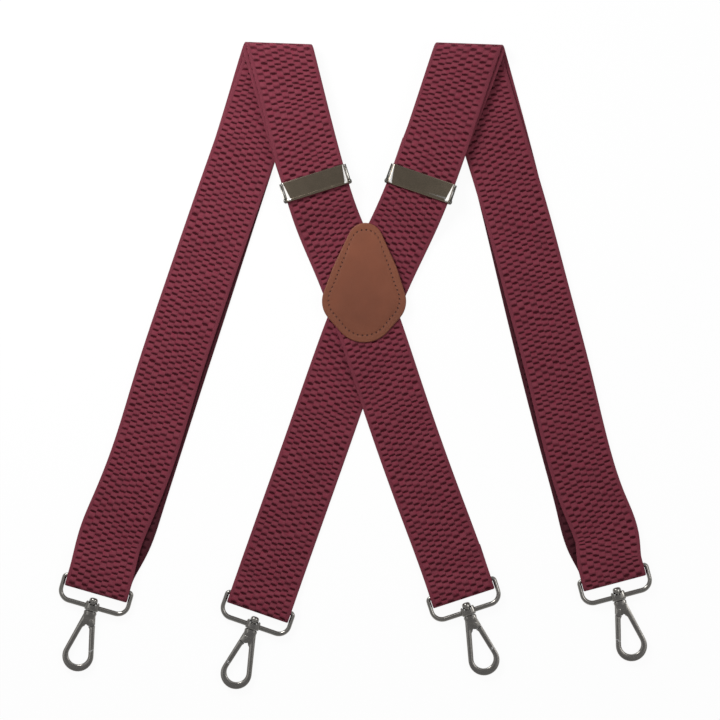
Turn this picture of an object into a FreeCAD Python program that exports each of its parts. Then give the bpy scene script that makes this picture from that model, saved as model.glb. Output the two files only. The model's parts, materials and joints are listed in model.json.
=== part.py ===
# X-back trouser braces laid flat with the shoulders folded over: two 50 mm elastic webbings crossing
# under a sewn leather patch, a flip-lever adjuster on each, and a swivel snap hook on all four ends.
# Millimetres, +Z up from the surface that the braces lie on, +Y towards the shoulder folds.
# The right webbing is laid out in mirrored coordinates (x negated), so both share one description.

import FreeCAD, Part
import os
from math import asin, atan2, ceil, cos, degrees, pi, radians, sin, tan
from FreeCAD import Placement, Rotation, Vector

UP = Vector(0, 0, 1)

# Webbing
WEB_WIDTH = 50.0
WEB_THICK = 1.8
PLY_GAP = 0.1  # air between plies that lie on each other
FREE_GAP = 0.3  # air beside anything that moves
ROUND_STEP = 15.0  # degrees that rounded outlines turn between their flats
STATION_PITCH = 24.0
TURN_STEPS = 6

# Ring of a clip: a round-wire loop with a swivel collar in its lower bar
WIRE = 3.3
WIRE_SIDES = 10
BEND_STEP = 18.0  # degrees that the wire turns between its flats
RING_WIDTH = 57.4
RING_HEIGHT = 22.5
LOW_BAR = 3.9  # the cast ring's lower bar is deeper than its wire
RING_TOP_RADIUS = 4.0
RING_LOW_RADIUS = 10.0
COLLAR_RADIUS = 5.8
COLLAR_HALF_THICK = 3.1
COLLAR_TOP, COLLAR_LOW = -14.9, -21.9
CUP_FLOOR, CUP_MOUTH = 3.9, 5.2
BORE_RADIUS = 2.08

# Swivel rivet, hook and gate, measured from the ring's top bar down the clip
HEAD_Y = -14.4
HEAD_RADIUS = 3.4
SHANK_RADIUS = 2.0
HOOK_TOP = COLLAR_LOW - FREE_GAP
HOOK_TIP = -70.6
HOOK_HALF_THICK = 2.2
NECK_HALF_THICK = 2.9
HOOK_BOTTOM_RADIUS = 12.1
HOOK_TOP_RADIUS = 5.1
HOOK_TOP_Y = -27.3
WINDOW_BOTTOM_RADIUS = 7.8
WINDOW_TOP_RADIUS = 3.0
HOOK_BAR = 5.4
WINDOW_TOP_Y = -37.3
EDGE_BEVEL = 0.8
NECK_OUTLINE = ((4.4, 0), (5.2, -0.8), (4.9, -2.4), (4.8, -5.2), (3.4, -6.6))
GATE_PIVOT = Vector(2.2, -29.1, 0)
GATE_PIN_RADIUS = 0.75
GATE_ROOT, GATE_TIP, GATE_LIP = 5.0, 23.0, 24.2  # radii of the gate's ends about its pin
GATE_STEP = -74.0  # angle of the step where the lip bears on the nose
GATE_SWEPT = -126.0  # angle to which the gate's root sweeps as it opens
TONGUE_HALF_THICK = 1.2

# Loop of webbing round a ring's top bar
LOOP_GAP = 0.35
LOOP_SLACK = 4.6
LOOP_STRAIGHT = 5.0
FRONT_STRAIGHT = 9.0
SEWN_END = 28.0
BAR_Z = WEB_THICK + LOOP_GAP + WIRE / 2
LOOP_RADIUS = WIRE / 2 + LOOP_GAP + WEB_THICK / 2

# Adjuster, in its own frame: x across the webbing, y towards the shoulder fold, z from the surface
CROSSBAR_THICK = 1.1
CROSSBAR_Y = (3.2, 7.2)
CROSSBAR_GAP = 0.05
ANVIL_Y = (-7.4, -0.8)
EAR_INNER, EAR_THICK = 26.05, 1.0
LEVER_FRONT_Y = 8.6
LEVER_PLATE = 0.8
LEVER_HALF_WIDTH = 25.6
LEVER_FLAT_FRONT, LEVER_FLAT_BACK = 25.0, 21.4  # half widths of the flat top at its two ends
LEVER_SKIRT = 1.1  # how far the sloped sides drop at the hinge end
BARREL_RADIUS = 1.6
HINGE_Y = -5.6
HINGE_PIN_RADIUS = 0.85
TOOTH_PITCH, TOOTH_DEPTH = 2.0, 0.4

# Heights of the webbing plies' middles
LOW = WEB_THICK / 2
SECOND = LOW + WEB_THICK + PLY_GAP
SEWN_LEVEL = SECOND + WEB_THICK + FREE_GAP
CROSSBAR_Z = SEWN_LEVEL + WEB_THICK / 2 + CROSSBAR_GAP + CROSSBAR_THICK / 2
TAIL_LEVEL = 2 * CROSSBAR_Z - SEWN_LEVEL
RUN_LEVEL = TAIL_LEVEL + WEB_THICK + PLY_GAP
FOLD_Z = (LOW + RUN_LEVEL) / 2
ANVIL_Z = RUN_LEVEL - WEB_THICK / 2 - FREE_GAP - CROSSBAR_THICK
HINGE_Z = RUN_LEVEL + WEB_THICK / 2 + FREE_GAP + BARREL_RADIUS
LEVER_TOP = HINGE_Z + 0.4

# Patch
LEATHER = 1.5
PATCH_CENTRE = (6.7, 64.6)
PATCH_DISCS = ((0, 30.0, 15.8), (-12.9, -15.1, 19.8), (0, -22.7, 24.4), (12.9, -15.1, 19.8))
UNDER_AT_PATCH = LEATHER + PLY_GAP + WEB_THICK / 2
OVER_AT_PATCH = UNDER_AT_PATCH + WEB_THICK + PLY_GAP
PATCH_Z = OVER_AT_PATCH + WEB_THICK / 2 + PLY_GAP

# Where each webbing lies. Routes are middle lines by hand, from the fold down; leans are in degrees
# from +Y, and positive leans go towards +X on the way up.
STRAPS = {
    "left": dict(
        mirror=False,
        crossing=((-58, LOW), (-28, SECOND), (-12, SECOND), (8, OVER_AT_PATCH), (102, OVER_AT_PATCH)),
        fold=(-59.9, 250.1), run_lean=-14.5, adjuster=(-30.9, 140.1), adjuster_lean=-17.4,
        back=((-22.0, 112.8), (-8.9, 81.7), (3.3, 50.6), (35.0, -42.8), (59.4, -111.0)),
        back_ring=(81.8, -173.5, -18.0),
        front=((-104.9, 112.8), (-126.2, 50.6), (-146.3, -10.0), (-166.2, -73.9), (-180.9, -111.0),
               (-190.9, -136.0)),
        front_under=((-75.8, 200.0), (-103.4, 112.8), (-123.3, 50.6), (-143.0, -10.0), (-163.4, -73.9),
                     (-175.1, -111.0), (-184.2, -136.0)),
        front_lean=18.6, front_ring=(-199.6, -169.8, 16.0),
    ),
    "right": dict(
        mirror=True,
        crossing=((2, LOW), (20, UNDER_AT_PATCH), (102, UNDER_AT_PATCH)),
        fold=(-88.7, 249.7), run_lean=-19.2, adjuster=(-50.5, 139.9), adjuster_lean=-18.9,
        back=((-39.1, 112.8), (-24.3, 81.7), (-10.5, 50.6), (23.8, -42.8), (47.8, -111.0)),
        back_ring=(73.6, -184.5, -19.1),
        front=((-126.3, 112.8), (-142.9, 50.6), (-158.8, -10.0), (-174.5, -73.9), (-187.0, -111.0),
               (-195.8, -136.0)),
        front_under=((-116.0, 150.0), (-140.0, 50.6), (-171.7, -73.9), (-181.4, -111.0), (-188.8, -136.0)),
        front_lean=15.1, front_ring=(-199.6, -161.6, 14.8),
    ),
}


# ---------------------------------------------------------------- outlines

def belt(discs, step=ROUND_STEP):
    """The corners of the outline that hugs discs (x, y, radius) listed anticlockwise, as a belt hugs pulleys.

    Each rounded stretch is made of equal flats that turn by about step degrees.
    """
    discs = [(Vector(x, y, 0), r) for x, y, r in discs]
    leaving = []
    for (c1, r1), (c2, r2) in zip(discs, discs[1:] + discs[:1]):
        along = c2 - c1
        lean = asin((r1 - r2) / along.Length)
        leaving.append(atan2(along.y, along.x) - pi / 2 + lean)
    corners = []
    for i, (centre, radius) in enumerate(discs):
        turn = (leaving[i] - leaving[i - 1]) % (2 * pi)
        flats = max(2, ceil(degrees(turn) / step - 0.01))
        for k in range(flats + 1):
            corners.append(centre + polar(radius, degrees(leaving[i - 1] + turn * k / flats)))
    return corners


def polar(radius, angle):
    """The vector of this length in the XY plane, at angle degrees from X."""
    return Vector(cos(radians(angle)), sin(radians(angle)), 0) * radius


def slab(corners, low, high):
    """The outline with these corners, drawn out from z = low to z = high."""
    solid = Part.Face(Part.makePolygon(corners + corners[:1])).extrude(UP * (high - low))
    solid.translate(UP * low)
    return solid


def rims(solid, z):
    """The level edges of a solid at the height z or -z."""
    return [e for e in solid.Edges if e.BoundBox.ZLength < 1e-6 and abs(abs(e.BoundBox.ZMin) - z) < 1e-6]


def sector(radius, start, stop, half_thick, centre=GATE_PIVOT):
    """A slice of a cylinder about centre, from angle start to stop in degrees."""
    base = centre - UP * half_thick
    solid = Part.makeCylinder(radius, 2 * half_thick, base, UP, stop - start)
    return solid.rotate(base, UP, start)


def box(x, y, z):
    """The box between the pairs x, y and z."""
    return Part.makeBox(x[1] - x[0], y[1] - y[0], z[1] - z[0], Vector(x[0], y[0], z[0]))


def ring_of_corners(radius, y, sides=18):
    """The corners of a regular polygon about the Y axis."""
    angles = [2 * pi * k / sides for k in range(sides)]
    return [Vector(radius * cos(t), y, radius * sin(t)) for t in angles]


def pyramid(low_radius, high_radius, low_y, high_y):
    """A many-sided frustum about the Y axis."""
    return skin([ring_of_corners(low_radius, low_y), ring_of_corners(high_radius, high_y)])


# ---------------------------------------------------------------- webbing

def heading(lean):
    """The plan direction that leans this many degrees from +Y towards +X."""
    return Vector(sin(radians(lean)), cos(radians(lean)), 0)


def eased(levels, distance):
    """The height at a distance along a leg, eased between the (distance, height) pairs."""
    for (d0, z0), (d1, z1) in zip(levels, levels[1:]):
        if distance <= d1:
            t = min(max((distance - d0) / (d1 - d0), 0), 1)
            return z0 + (z1 - z0) * t * t * (3 - 2 * t)
    return levels[-1][1]


def leg(points, first_way, last_way, levels, facing, first_across=None, last_across=None):
    """Stations of a webbing leg along a smooth plan line through points.

    levels are (distance from the start, height of the ply's middle). facing is 1 where the good side
    is up. The cross direction is square to the line, but turns to first_across and last_across over
    the leg's end stretches. A station is (middle, half-width vector, good-side normal).
    """
    plan = Part.BSplineCurve()
    plan.interpolate([Vector(x, y, 0) for x, y in points], InitialTangent=first_way, FinalTangent=last_way)
    length = plan.length()
    count = ceil(length / STATION_PITCH)
    marks = {length * k / count for k in range(count + 1)}
    for (d0, z0), (d1, z1) in zip(levels, levels[1:]):
        if z0 != z1:
            marks |= {d0 + (d1 - d0) * k / 4 for k in range(5)}
    blend = min(70.0, length / 2)
    stations = []
    for d in sorted(m for m in marks if 0 <= m <= length):
        if stations and d - done < 1.0 and d < length:
            continue
        done = d
        u = plan.parameterAtDistance(d, plan.FirstParameter)
        way = Vector(*plan.tangent(u)[0])
        square = way.cross(UP) * facing
        turn = 0.0
        for across, reach in ((first_across, 1 - d / blend), (last_across, 1 - (length - d) / blend)):
            if across is not None and reach > 0:
                turn += reach * atan2(square.cross(across).z, square.dot(across))
        half = Rotation(UP, degrees(turn)).multVec(square) * (WEB_WIDTH / 2 / cos(turn))
        rise = (eased(levels, d + 0.5) - eased(levels, d - 0.5))
        good = half.cross(way + UP * rise) .normalize()
        good = good if good.z * facing > 0 else -good
        place = plan.value(u)
        stations.append((Vector(place.x, place.y, eased(levels, d)), half, good))
    return stations


def half_turn(pivot, ahead, half, radius, start, outward, skew=0.0):
    """Stations of a half turn about pivot, from angle start (90 on top, -90 below) to the other side.

    ahead points away from the webbing, half is the half-width vector, outward is 1 where the good
    side is outside the turn, and skew is the angle at which the webbing runs across the crease.
    """
    along = Vector(half).normalize() * (1 if half.dot(UP.cross(ahead)) > 0 else -1)
    stations = []
    for k in range(TURN_STEPS + 1):
        angle = radians(start) * (1 - 2 * k / TURN_STEPS)
        out = ahead * cos(angle) + UP * sin(angle)
        drift = along * (tan(radians(skew)) * radius * pi * (k / TURN_STEPS - 0.5))
        stations.append((pivot + out * radius + drift, half, out * outward))
    return stations


def flat_face(*corners):
    """The flat face with these corners."""
    return Part.Face(Part.makePolygon(list(corners) + [corners[0]]))


def skin(sections, closed=False):
    """A flat-sided solid through sections with equal numbers of corners. A closed one has no ends."""
    pairs = list(zip(sections, sections[1:]))
    if closed:
        pairs.append((sections[-1], sections[0]))
        faces = []
    else:
        faces = [flat_face(*sections[0]), flat_face(*sections[-1])]
    for near, far in pairs:
        for i in range(len(near)):
            a, b, c, d = near[i - 1], near[i], far[i], far[i - 1]
            normal = (b - a).cross(d - a).normalize()
            if abs((c - a).dot(normal)) < 1e-7:
                faces.append(flat_face(a, b, c, d))
            else:
                faces += [flat_face(a, b, c), flat_face(a, c, d)]
    shell = Part.makeShell(faces)
    shell.sewShape()
    solid = Part.makeSolid(shell).removeSplitter()
    if solid.Volume < 0:
        solid.reverse()
    return solid


def ribbon(stations):
    """A webbing ply: rectangular sections at the stations, skinned."""
    sections = []
    for middle, half, good in stations:
        thick = good * (WEB_THICK / 2)
        sections.append([middle - half - thick, middle + half - thick, middle + half + thick, middle - half + thick])
    return skin(sections)


def tidy(stations):
    """Stations without a repeated place where one stretch hands over to the next."""
    kept = [stations[0]]
    for station in stations[1:]:
        if (station[0] - kept[-1][0]).Length > 0.05:
            kept.append(station)
    return kept


def plan_frames(s):
    """The places along one webbing that its stretches share, in the webbing's own coordinates."""
    run_way = heading(s["run_lean"])
    crease_lean = (s["front_lean"] + s["run_lean"]) / 2
    skew = (s["front_lean"] - s["run_lean"]) / 2
    ahead = heading(crease_lean)
    crease = Vector(ahead.y, -ahead.x, 0)
    frames = {"ahead": ahead, "skew": skew, "run_way": run_way}
    frames["crease_half"] = crease * (WEB_WIDTH / 2 / cos(radians(skew)))
    reach = (RUN_LEVEL - LOW) / 2 + WEB_THICK / 2
    frames["pivot"] = Vector(*s["fold"], 0) - ahead * reach + UP * FOLD_Z
    for end in ("front", "back"):
        x, y, lean = s[end + "_ring"]
        frames[end] = Placement(Vector(x, y, BAR_Z), Rotation(UP, -lean))
    frames["adjuster"] = Placement(Vector(*s["adjuster"], 0), Rotation(UP, -s["adjuster_lean"]))
    return frames


def ring_turn(place, facing_start):
    """The half turn round a ring's top bar, and the plan direction back up the webbing."""
    up_way = place.Rotation.multVec(Vector(0, 1, 0))
    half = place.Rotation.multVec(Vector(WEB_WIDTH / 2, 0, 0))
    pivot = place.Base - up_way * LOOP_SLACK
    return half_turn(pivot, up_way * -1, half, LOOP_RADIUS, facing_start, 1), up_way


def plan_point(vector):
    return vector.x, vector.y


def main_webbing(s, frames):
    """From the sewn end at the back ring, over the shoulder, round the front ring and back to the fold."""
    loop_top = BAR_Z + LOOP_RADIUS
    run_way, pivot, ahead = frames["run_way"], frames["pivot"], frames["ahead"]
    half, skew = frames["crease_half"], frames["skew"]
    main_radius, tail_radius = (RUN_LEVEL - LOW) / 2, (TAIL_LEVEL - SECOND) / 2

    # sewn end under the back leg, and the loop round the back ring
    back_turn, back_way = ring_turn(frames["back"], -90)
    bar = frames["back"].Base
    sewn_tip, loop_end = bar + back_way * SEWN_END, bar - back_way * LOOP_SLACK
    stations = leg([plan_point(sewn_tip), plan_point(loop_end)], back_way * -1, back_way * -1,
                   [(0, LOW), (1, LOW)], -1)
    stations += back_turn

    # back leg: from the loop down onto its own end, to the surface, over the patch's backing, up to the run
    top_of_run = half_turn(pivot, ahead, half, main_radius, 90, 1, skew)
    route = [plan_point(loop_end)] + [plan_point(bar + back_way * LOOP_STRAIGHT)]
    route += list(reversed(s["back"])) + [s["adjuster"], plan_point(top_of_run[0][0])]
    distance = measured(route, back_way, run_way)
    bar_at = distance(plan_point(bar)[1])
    levels = [
        (0, loop_top), (bar_at + LOOP_STRAIGHT, loop_top), (bar_at + SEWN_END - 12, SECOND),
        (bar_at + SEWN_END + 1, SECOND), (bar_at + SEWN_END + 16, LOW),
    ]
    levels += [(distance(y), z) for y, z in s["crossing"]]
    levels += [(distance(s["adjuster"][1] - 8.5), RUN_LEVEL), (distance(pivot.y), RUN_LEVEL)]
    stations += leg(route, back_way, run_way, levels, 1, last_across=half)

    # over the fold, down the front leg against the surface, round the front ring
    stations += top_of_run
    front_turn, front_way = ring_turn(frames["front"], -90)
    bar = frames["front"].Base
    loop_end = plan_point(bar - front_way * LOOP_SLACK)
    bend = plan_point(bar + front_way * FRONT_STRAIGHT)
    down = heading(s["front_lean"]) * -1
    route = [plan_point(top_of_run[-1][0])] + list(s["front_under"]) + [bend, loop_end]
    stations += leg(route, down, front_way * -1, [(0, LOW), (1, LOW)], -1, first_across=half)
    stations += front_turn

    # back up on top of the front leg, and inside the fold
    inner = half_turn(pivot, ahead, half, tail_radius, -90, -1, skew)
    route = [loop_end, bend] + list(reversed(s["front"])) + [plan_point(inner[0][0])]
    levels = [(0, loop_top), (LOOP_SLACK + LOOP_STRAIGHT, loop_top), (42, SECOND), (43, SECOND)]
    stations += leg(route, front_way, down * -1, levels, 1, last_across=half)
    stations += inner
    return ribbon(tidy(stations)), inner[-1]


def measured(points, first_way, last_way):
    """A function from y to the distance along the plan line at which a leg passes it."""
    plan = Part.BSplineCurve()
    plan.interpolate([Vector(x, y, 0) for x, y in points], InitialTangent=first_way, FinalTangent=last_way)
    length = plan.length()
    steps = [length * k / 2000 for k in range(2001)]
    heights = [plan.value(plan.parameterAtDistance(d, plan.FirstParameter)).y for d in steps]

    def distance(y):
        return min(zip(steps, heights), key=lambda pair: abs(pair[1] - y))[0]
    return distance


def tail_webbing(s, frames, start):
    """From inside the fold down the underside of the run, round the adjuster's crossbar, to its sewn end."""
    place = frames["adjuster"]
    toward_fold = place.Rotation.multVec(Vector(0, 1, 0))
    half = place.Rotation.multVec(Vector(WEB_WIDTH / 2, 0, 0))
    radius = (TAIL_LEVEL - SEWN_LEVEL) / 2
    pivot = place.multVec(Vector(0, CROSSBAR_Y[0] + CROSSBAR_THICK / 2, CROSSBAR_Z))
    down = frames["run_way"] * -1
    bar_edge = place.multVec(Vector(0, CROSSBAR_Y[1] + 4, 0))
    stations = leg([plan_point(start[0]), plan_point(bar_edge), plan_point(pivot)], down, toward_fold * -1,
                   [(0, TAIL_LEVEL), (1, TAIL_LEVEL)], -1, first_across=start[1])
    stations += half_turn(pivot, toward_fold * -1, half, radius, 90, -1)
    under_tail = TAIL_LEVEL - WEB_THICK - PLY_GAP
    sewn_tip = bar_edge + toward_fold * 19 + frames["run_way"] * 0
    levels = [(0, SEWN_LEVEL), (CROSSBAR_Y[1] + 1 - CROSSBAR_Y[0], SEWN_LEVEL), (13, under_tail), (14, under_tail)]
    stations += leg([plan_point(pivot), plan_point(bar_edge), plan_point(sewn_tip)], toward_fold,
                    frames["run_way"], levels, 1)
    return ribbon(tidy(stations))


# ---------------------------------------------------------------- clip, in its own frame

def clip_ring():
    """The wire loop with its swivel collar. The frame's origin is the middle of the top bar.

    The wire has WIRE_SIDES flats, apart from the top bar, which is round where the webbing turns on it.
    """
    x, top, low, r = RING_WIDTH / 2, WIRE / 2, WIRE / 2 - RING_HEIGHT, WIRE / 2
    outlines = []
    for side, top_depth, low_depth in ((0, 0, 0), (WIRE, WIRE, LOW_BAR)):
        top_r, low_r = RING_TOP_RADIUS - top_depth, RING_LOW_RADIUS - (side + low_depth) / 2
        wide = x - side
        outlines.append(belt([(wide - top_r, top - top_depth - top_r, top_r),
                              (-wide + top_r, top - top_depth - top_r, top_r),
                              (-wide + low_r, low + low_depth + low_r, low_r),
                              (wide - low_r, low + low_depth + low_r, low_r)], BEND_STEP))
    sections = []
    for outer, inner in zip(*outlines):
        middle, half = (outer + inner) / 2, (outer - inner) / 2
        angles = [2 * pi * (k + 0.5) / WIRE_SIDES for k in range(WIRE_SIDES)]
        edge = 1 / cos(pi / WIRE_SIDES)
        sections.append([middle + half * (edge * cos(t)) + UP * (r * edge * sin(t)) for t in angles])
    loop = skin(sections, closed=True)
    bar = x - RING_TOP_RADIUS
    loop = loop.cut(box((-bar, bar), (-r - 1, r + 1), (-r - 1, r + 1)))
    loop = loop.fuse(Part.makeCylinder(r, 2 * bar, Vector(-bar, 0, 0), Vector(1, 0, 0)))
    collar = Part.makeCylinder(COLLAR_RADIUS, COLLAR_TOP - COLLAR_LOW, Vector(0, COLLAR_LOW, 0), Vector(0, 1, 0))
    collar = collar.common(box((-9, 9), (COLLAR_LOW - 1, COLLAR_TOP + 1), (-COLLAR_HALF_THICK, COLLAR_HALF_THICK)))
    ring = loop.fuse(collar)
    floor = COLLAR_LOW + 3.4
    cup = pyramid(CUP_FLOOR, CUP_MOUTH, floor, COLLAR_TOP + 1)
    bore = Part.makeCylinder(BORE_RADIUS, 12, Vector(0, COLLAR_LOW - 2, 0), Vector(0, 1, 0))
    return ring.cut(cup).cut(bore)


def swivel_rivet():
    """The domed rivet that the hook turns on: its head sits in the collar's cup."""
    under = HEAD_Y - 2.9
    dome = [(HEAD_RADIUS - 0.5, under), (HEAD_RADIUS, HEAD_Y - 0.6), (HEAD_RADIUS, HEAD_Y + 0.9),
            (HEAD_RADIUS * 0.88, HEAD_Y + 1.9), (HEAD_RADIUS * 0.6, HEAD_Y + 2.6), (HEAD_RADIUS * 0.2, HEAD_Y + 2.8)]
    head = skin([ring_of_corners(radius, y) for radius, y in dome])
    return head.fuse(Part.makeCylinder(SHANK_RADIUS, under + 4 - HOOK_TOP, Vector(0, HOOK_TOP - 4, 0), Vector(0, 1, 0)))


def hook_blank():
    """The whole teardrop with bevelled edges, before the gate is cut from it."""
    low_y = HOOK_TIP + HOOK_BOTTOM_RADIUS
    window_y = HOOK_TIP + HOOK_BAR + WINDOW_BOTTOM_RADIUS
    outer = belt([(0, HOOK_TOP_Y, HOOK_TOP_RADIUS), (0, low_y, HOOK_BOTTOM_RADIUS)])
    window = belt([(0, WINDOW_TOP_Y, WINDOW_TOP_RADIUS), (0, window_y, WINDOW_BOTTOM_RADIUS)])
    solid = slab(outer, -HOOK_HALF_THICK, HOOK_HALF_THICK)
    solid = solid.cut(slab(window, -HOOK_HALF_THICK - 1, HOOK_HALF_THICK + 1))
    return solid.makeChamfer(EDGE_BEVEL, rims(solid, HOOK_HALF_THICK))


def gate_region(growth):
    """The stepped slice about the gate's pin that holds the gate, larger all round by growth."""
    thick = HOOK_HALF_THICK + 1
    step = GATE_STEP + degrees(growth / GATE_TIP)
    whole = sector(GATE_TIP + growth, -96, -20, thick)
    lip = sector(GATE_LIP + growth, -96, step, thick)
    return whole.fuse(lip).cut(Part.makeCylinder(GATE_ROOT - growth, 2 * thick, GATE_PIVOT - UP * thick))


def hook_body():
    """The cast hook: neck, teardrop and nose, with a slot for the gate's tongue and its spring."""
    right = [Vector(x, HOOK_TOP + y, 0) for x, y in NECK_OUTLINE]
    left = [Vector(-v.x, v.y, 0) for v in reversed(right)]
    neck = slab(left + right, -NECK_HALF_THICK, NECK_HALF_THICK)
    neck = neck.makeChamfer(0.6, rims(neck, NECK_HALF_THICK))
    body = hook_blank().fuse(neck).cut(gate_region(FREE_GAP))
    swept = sector(GATE_ROOT + 1.4, GATE_SWEPT, -95, HOOK_HALF_THICK + 1)
    body = body.cut(swept.cut(Part.makeCylinder(GATE_ROOT - FREE_GAP, 9, GATE_PIVOT - UP * 4.5)))
    thick = TONGUE_HALF_THICK + 0.25
    body = body.cut(sector(GATE_ROOT + FREE_GAP, -122, -34, thick))
    body = body.cut(Part.makeCylinder(2.2, 2 * thick, GATE_PIVOT - UP * thick))
    body = body.cut(Part.makeCylinder(GATE_PIN_RADIUS, 12, GATE_PIVOT - UP * 6))
    return body.cut(Part.makeCylinder(SHANK_RADIUS, 4, Vector(0, HOOK_TOP - 4, 0), Vector(0, 1, 0)))


def gate():
    """The sprung side of the hook, with a thinner tongue and eye on the pin."""
    bar = hook_blank().common(gate_region(0))
    tongue = sector(GATE_ROOT + 0.8, -84, -46, TONGUE_HALF_THICK)
    eye = Part.makeCylinder(1.9, 2 * TONGUE_HALF_THICK, GATE_PIVOT - UP * TONGUE_HALF_THICK)
    solid = bar.fuse(tongue).fuse(eye)
    return solid.cut(Part.makeCylinder(GATE_PIN_RADIUS + 0.06, 12, GATE_PIVOT - UP * 6))


def gate_pin():
    """The rivet through the hook's cheeks that the gate turns on."""
    half = HOOK_HALF_THICK + 0.15
    return Part.makeCylinder(GATE_PIN_RADIUS, 2 * half, GATE_PIVOT - UP * half)


def gate_spring():
    """A bent leaf in the slot, between the hook's wall and the back of the tongue."""
    outer = [(3.0, -119), (4.5, -103), (3.2, -86)]
    inner = [(3.5, -87), (4.9, -103), (3.3, -120)]
    return slab([GATE_PIVOT + polar(radius, angle) for radius, angle in outer + inner], -1.0, 1.0)


# ---------------------------------------------------------------- adjuster, in its own frame

def adjuster_frame():
    """Anvil and crossbar joined by two upright ears that carry the lever's pin."""
    x = EAR_INNER + EAR_THICK / 2
    anvil = box((-x, x), ANVIL_Y, (ANVIL_Z, ANVIL_Z + CROSSBAR_THICK))
    bar = box((-x, x), CROSSBAR_Y, (CROSSBAR_Z - CROSSBAR_THICK / 2, CROSSBAR_Z + CROSSBAR_THICK / 2))
    long_edges = [e for e in bar.Edges if e.BoundBox.XLength > 1]
    bar = bar.makeFillet(0.5, long_edges)
    solid = anvil.fuse(bar)
    low = CROSSBAR_Z - CROSSBAR_THICK / 2
    boss = 1.75
    profile = [(ANVIL_Y[0], ANVIL_Z), (ANVIL_Y[0], HINGE_Z), (HINGE_Y, HINGE_Z + boss),
               (HINGE_Y + boss, HINGE_Z + 0.6), (LEVER_FRONT_Y - 0.4, LEVER_TOP - 1.6),
               (LEVER_FRONT_Y - 0.4, low + 0.8), (LEVER_FRONT_Y - 1.2, low), (CROSSBAR_Y[0] - 0.4, low),
               (ANVIL_Y[1] + 0.6, ANVIL_Z)]
    for x0 in (EAR_INNER, -EAR_INNER - EAR_THICK):
        outline = [Vector(x0, y, z) for y, z in profile]
        ear = Part.Face(Part.makePolygon(outline + outline[:1])).extrude(Vector(EAR_THICK, 0, 0))
        round_boss = Part.makeCylinder(boss, EAR_THICK, Vector(x0, HINGE_Y, HINGE_Z), Vector(1, 0, 0))
        solid = solid.fuse(ear).fuse(round_boss)
    hole = Part.makeCylinder(HINGE_PIN_RADIUS, 80, Vector(-40, HINGE_Y, HINGE_Z), Vector(1, 0, 0))
    return solid.cut(hole)


def lever_section(y, flat, drop):
    """A cross-section of the lever's pressed plate at y: flat on top, sloping down at both sides."""
    top, edge = LEVER_TOP, LEVER_TOP - drop
    points = [(-LEVER_HALF_WIDTH, edge), (-flat, top), (flat, top), (LEVER_HALF_WIDTH, edge),
              (LEVER_HALF_WIDTH, edge - LEVER_PLATE), (flat, top - LEVER_PLATE),
              (-flat, top - LEVER_PLATE), (-LEVER_HALF_WIDTH, edge - LEVER_PLATE)]
    return [Vector(x, y, z) for x, z in points]


def hinge_rod(radius, start, length, sides=14):
    """A many-sided rod about the adjuster's hinge line, from x = start."""
    angles = [2 * pi * (k + 0.5) / sides for k in range(sides)]
    corners = [Vector(0, HINGE_Y + radius * cos(t), HINGE_Z + radius * sin(t)) for t in angles]
    return skin([[c + Vector(x, 0, 0) for c in corners] for x in (start, start + length)])


def hinge_round(radius, start, length):
    """A round rod on the adjuster's hinge line, from x = start."""
    return Part.makeCylinder(radius, length, Vector(start, HINGE_Y, HINGE_Z), Vector(1, 0, 0))


def adjuster_lever():
    """The flip cover: a pressed plate rolled into a barrel round the pin, toothed underneath."""
    plate = skin([lever_section(HINGE_Y + 0.6, LEVER_FLAT_BACK, LEVER_SKIRT),
                  lever_section(LEVER_FRONT_Y, LEVER_FLAT_FRONT, 0.15)])
    lever = plate.fuse(hinge_rod(BARREL_RADIUS, -LEVER_HALF_WIDTH, 2 * LEVER_HALF_WIDTH))
    tip = HINGE_Z - BARREL_RADIUS
    teeth = int(LEVER_HALF_WIDTH * 2 / TOOTH_PITCH) - 2
    notches = []
    for k in range(teeth):
        x = (k - (teeth - 1) / 2) * TOOTH_PITCH
        corners = [Vector(x - 0.6, HINGE_Y - 3, tip - 0.2), Vector(x, HINGE_Y - 3, tip + TOOTH_DEPTH),
                   Vector(x + 0.6, HINGE_Y - 3, tip - 0.2)]
        notches.append(flat_face(*corners).extrude(Vector(0, 6, 0)))
    return lever.cut(Part.makeCompound(notches)).cut(hinge_round(HINGE_PIN_RADIUS + 0.08, -40, 80))


def lever_pin():
    """The hinge pin, through both ears and the lever's barrel, with a low head at each end."""
    reach = EAR_INNER + EAR_THICK
    pin = hinge_round(HINGE_PIN_RADIUS, -reach, 2 * reach)
    return pin.fuse(hinge_rod(1.4, reach, 0.6)).fuse(hinge_rod(1.4, -reach - 0.6, 0.6))


# ---------------------------------------------------------------- assembly

def clip_tilt():
    """The tilt in degrees that lays the hook's tip on the surface while the ring hangs in its loop."""
    return degrees(asin((BAR_Z - HOOK_HALF_THICK) / -HOOK_TIP))


def clip_placement(s, end):
    """Where a clip's own frame stands in the braces."""
    x, y, lean = s[end + "_ring"]
    side = -1 if s["mirror"] else 1
    turn = Rotation(UP, -lean * side).multiply(Rotation(Vector(1, 0, 0), clip_tilt()))
    return Placement(Vector(x * side, y, BAR_Z), turn)


def adjuster_placement(s):
    side = -1 if s["mirror"] else 1
    x, y = s["adjuster"]
    return Placement(Vector(x * side, y, 0), Rotation(UP, -s["adjuster_lean"] * side))


def mirrored(shape):
    return shape.mirror(Vector(), Vector(1, 0, 0))


def patch(low, high):
    solid = slab(belt([(x + PATCH_CENTRE[0], y + PATCH_CENTRE[1], r) for x, y, r in PATCH_DISCS]), low, high)
    return solid.makeChamfer(0.4, rims(solid, high))


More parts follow.
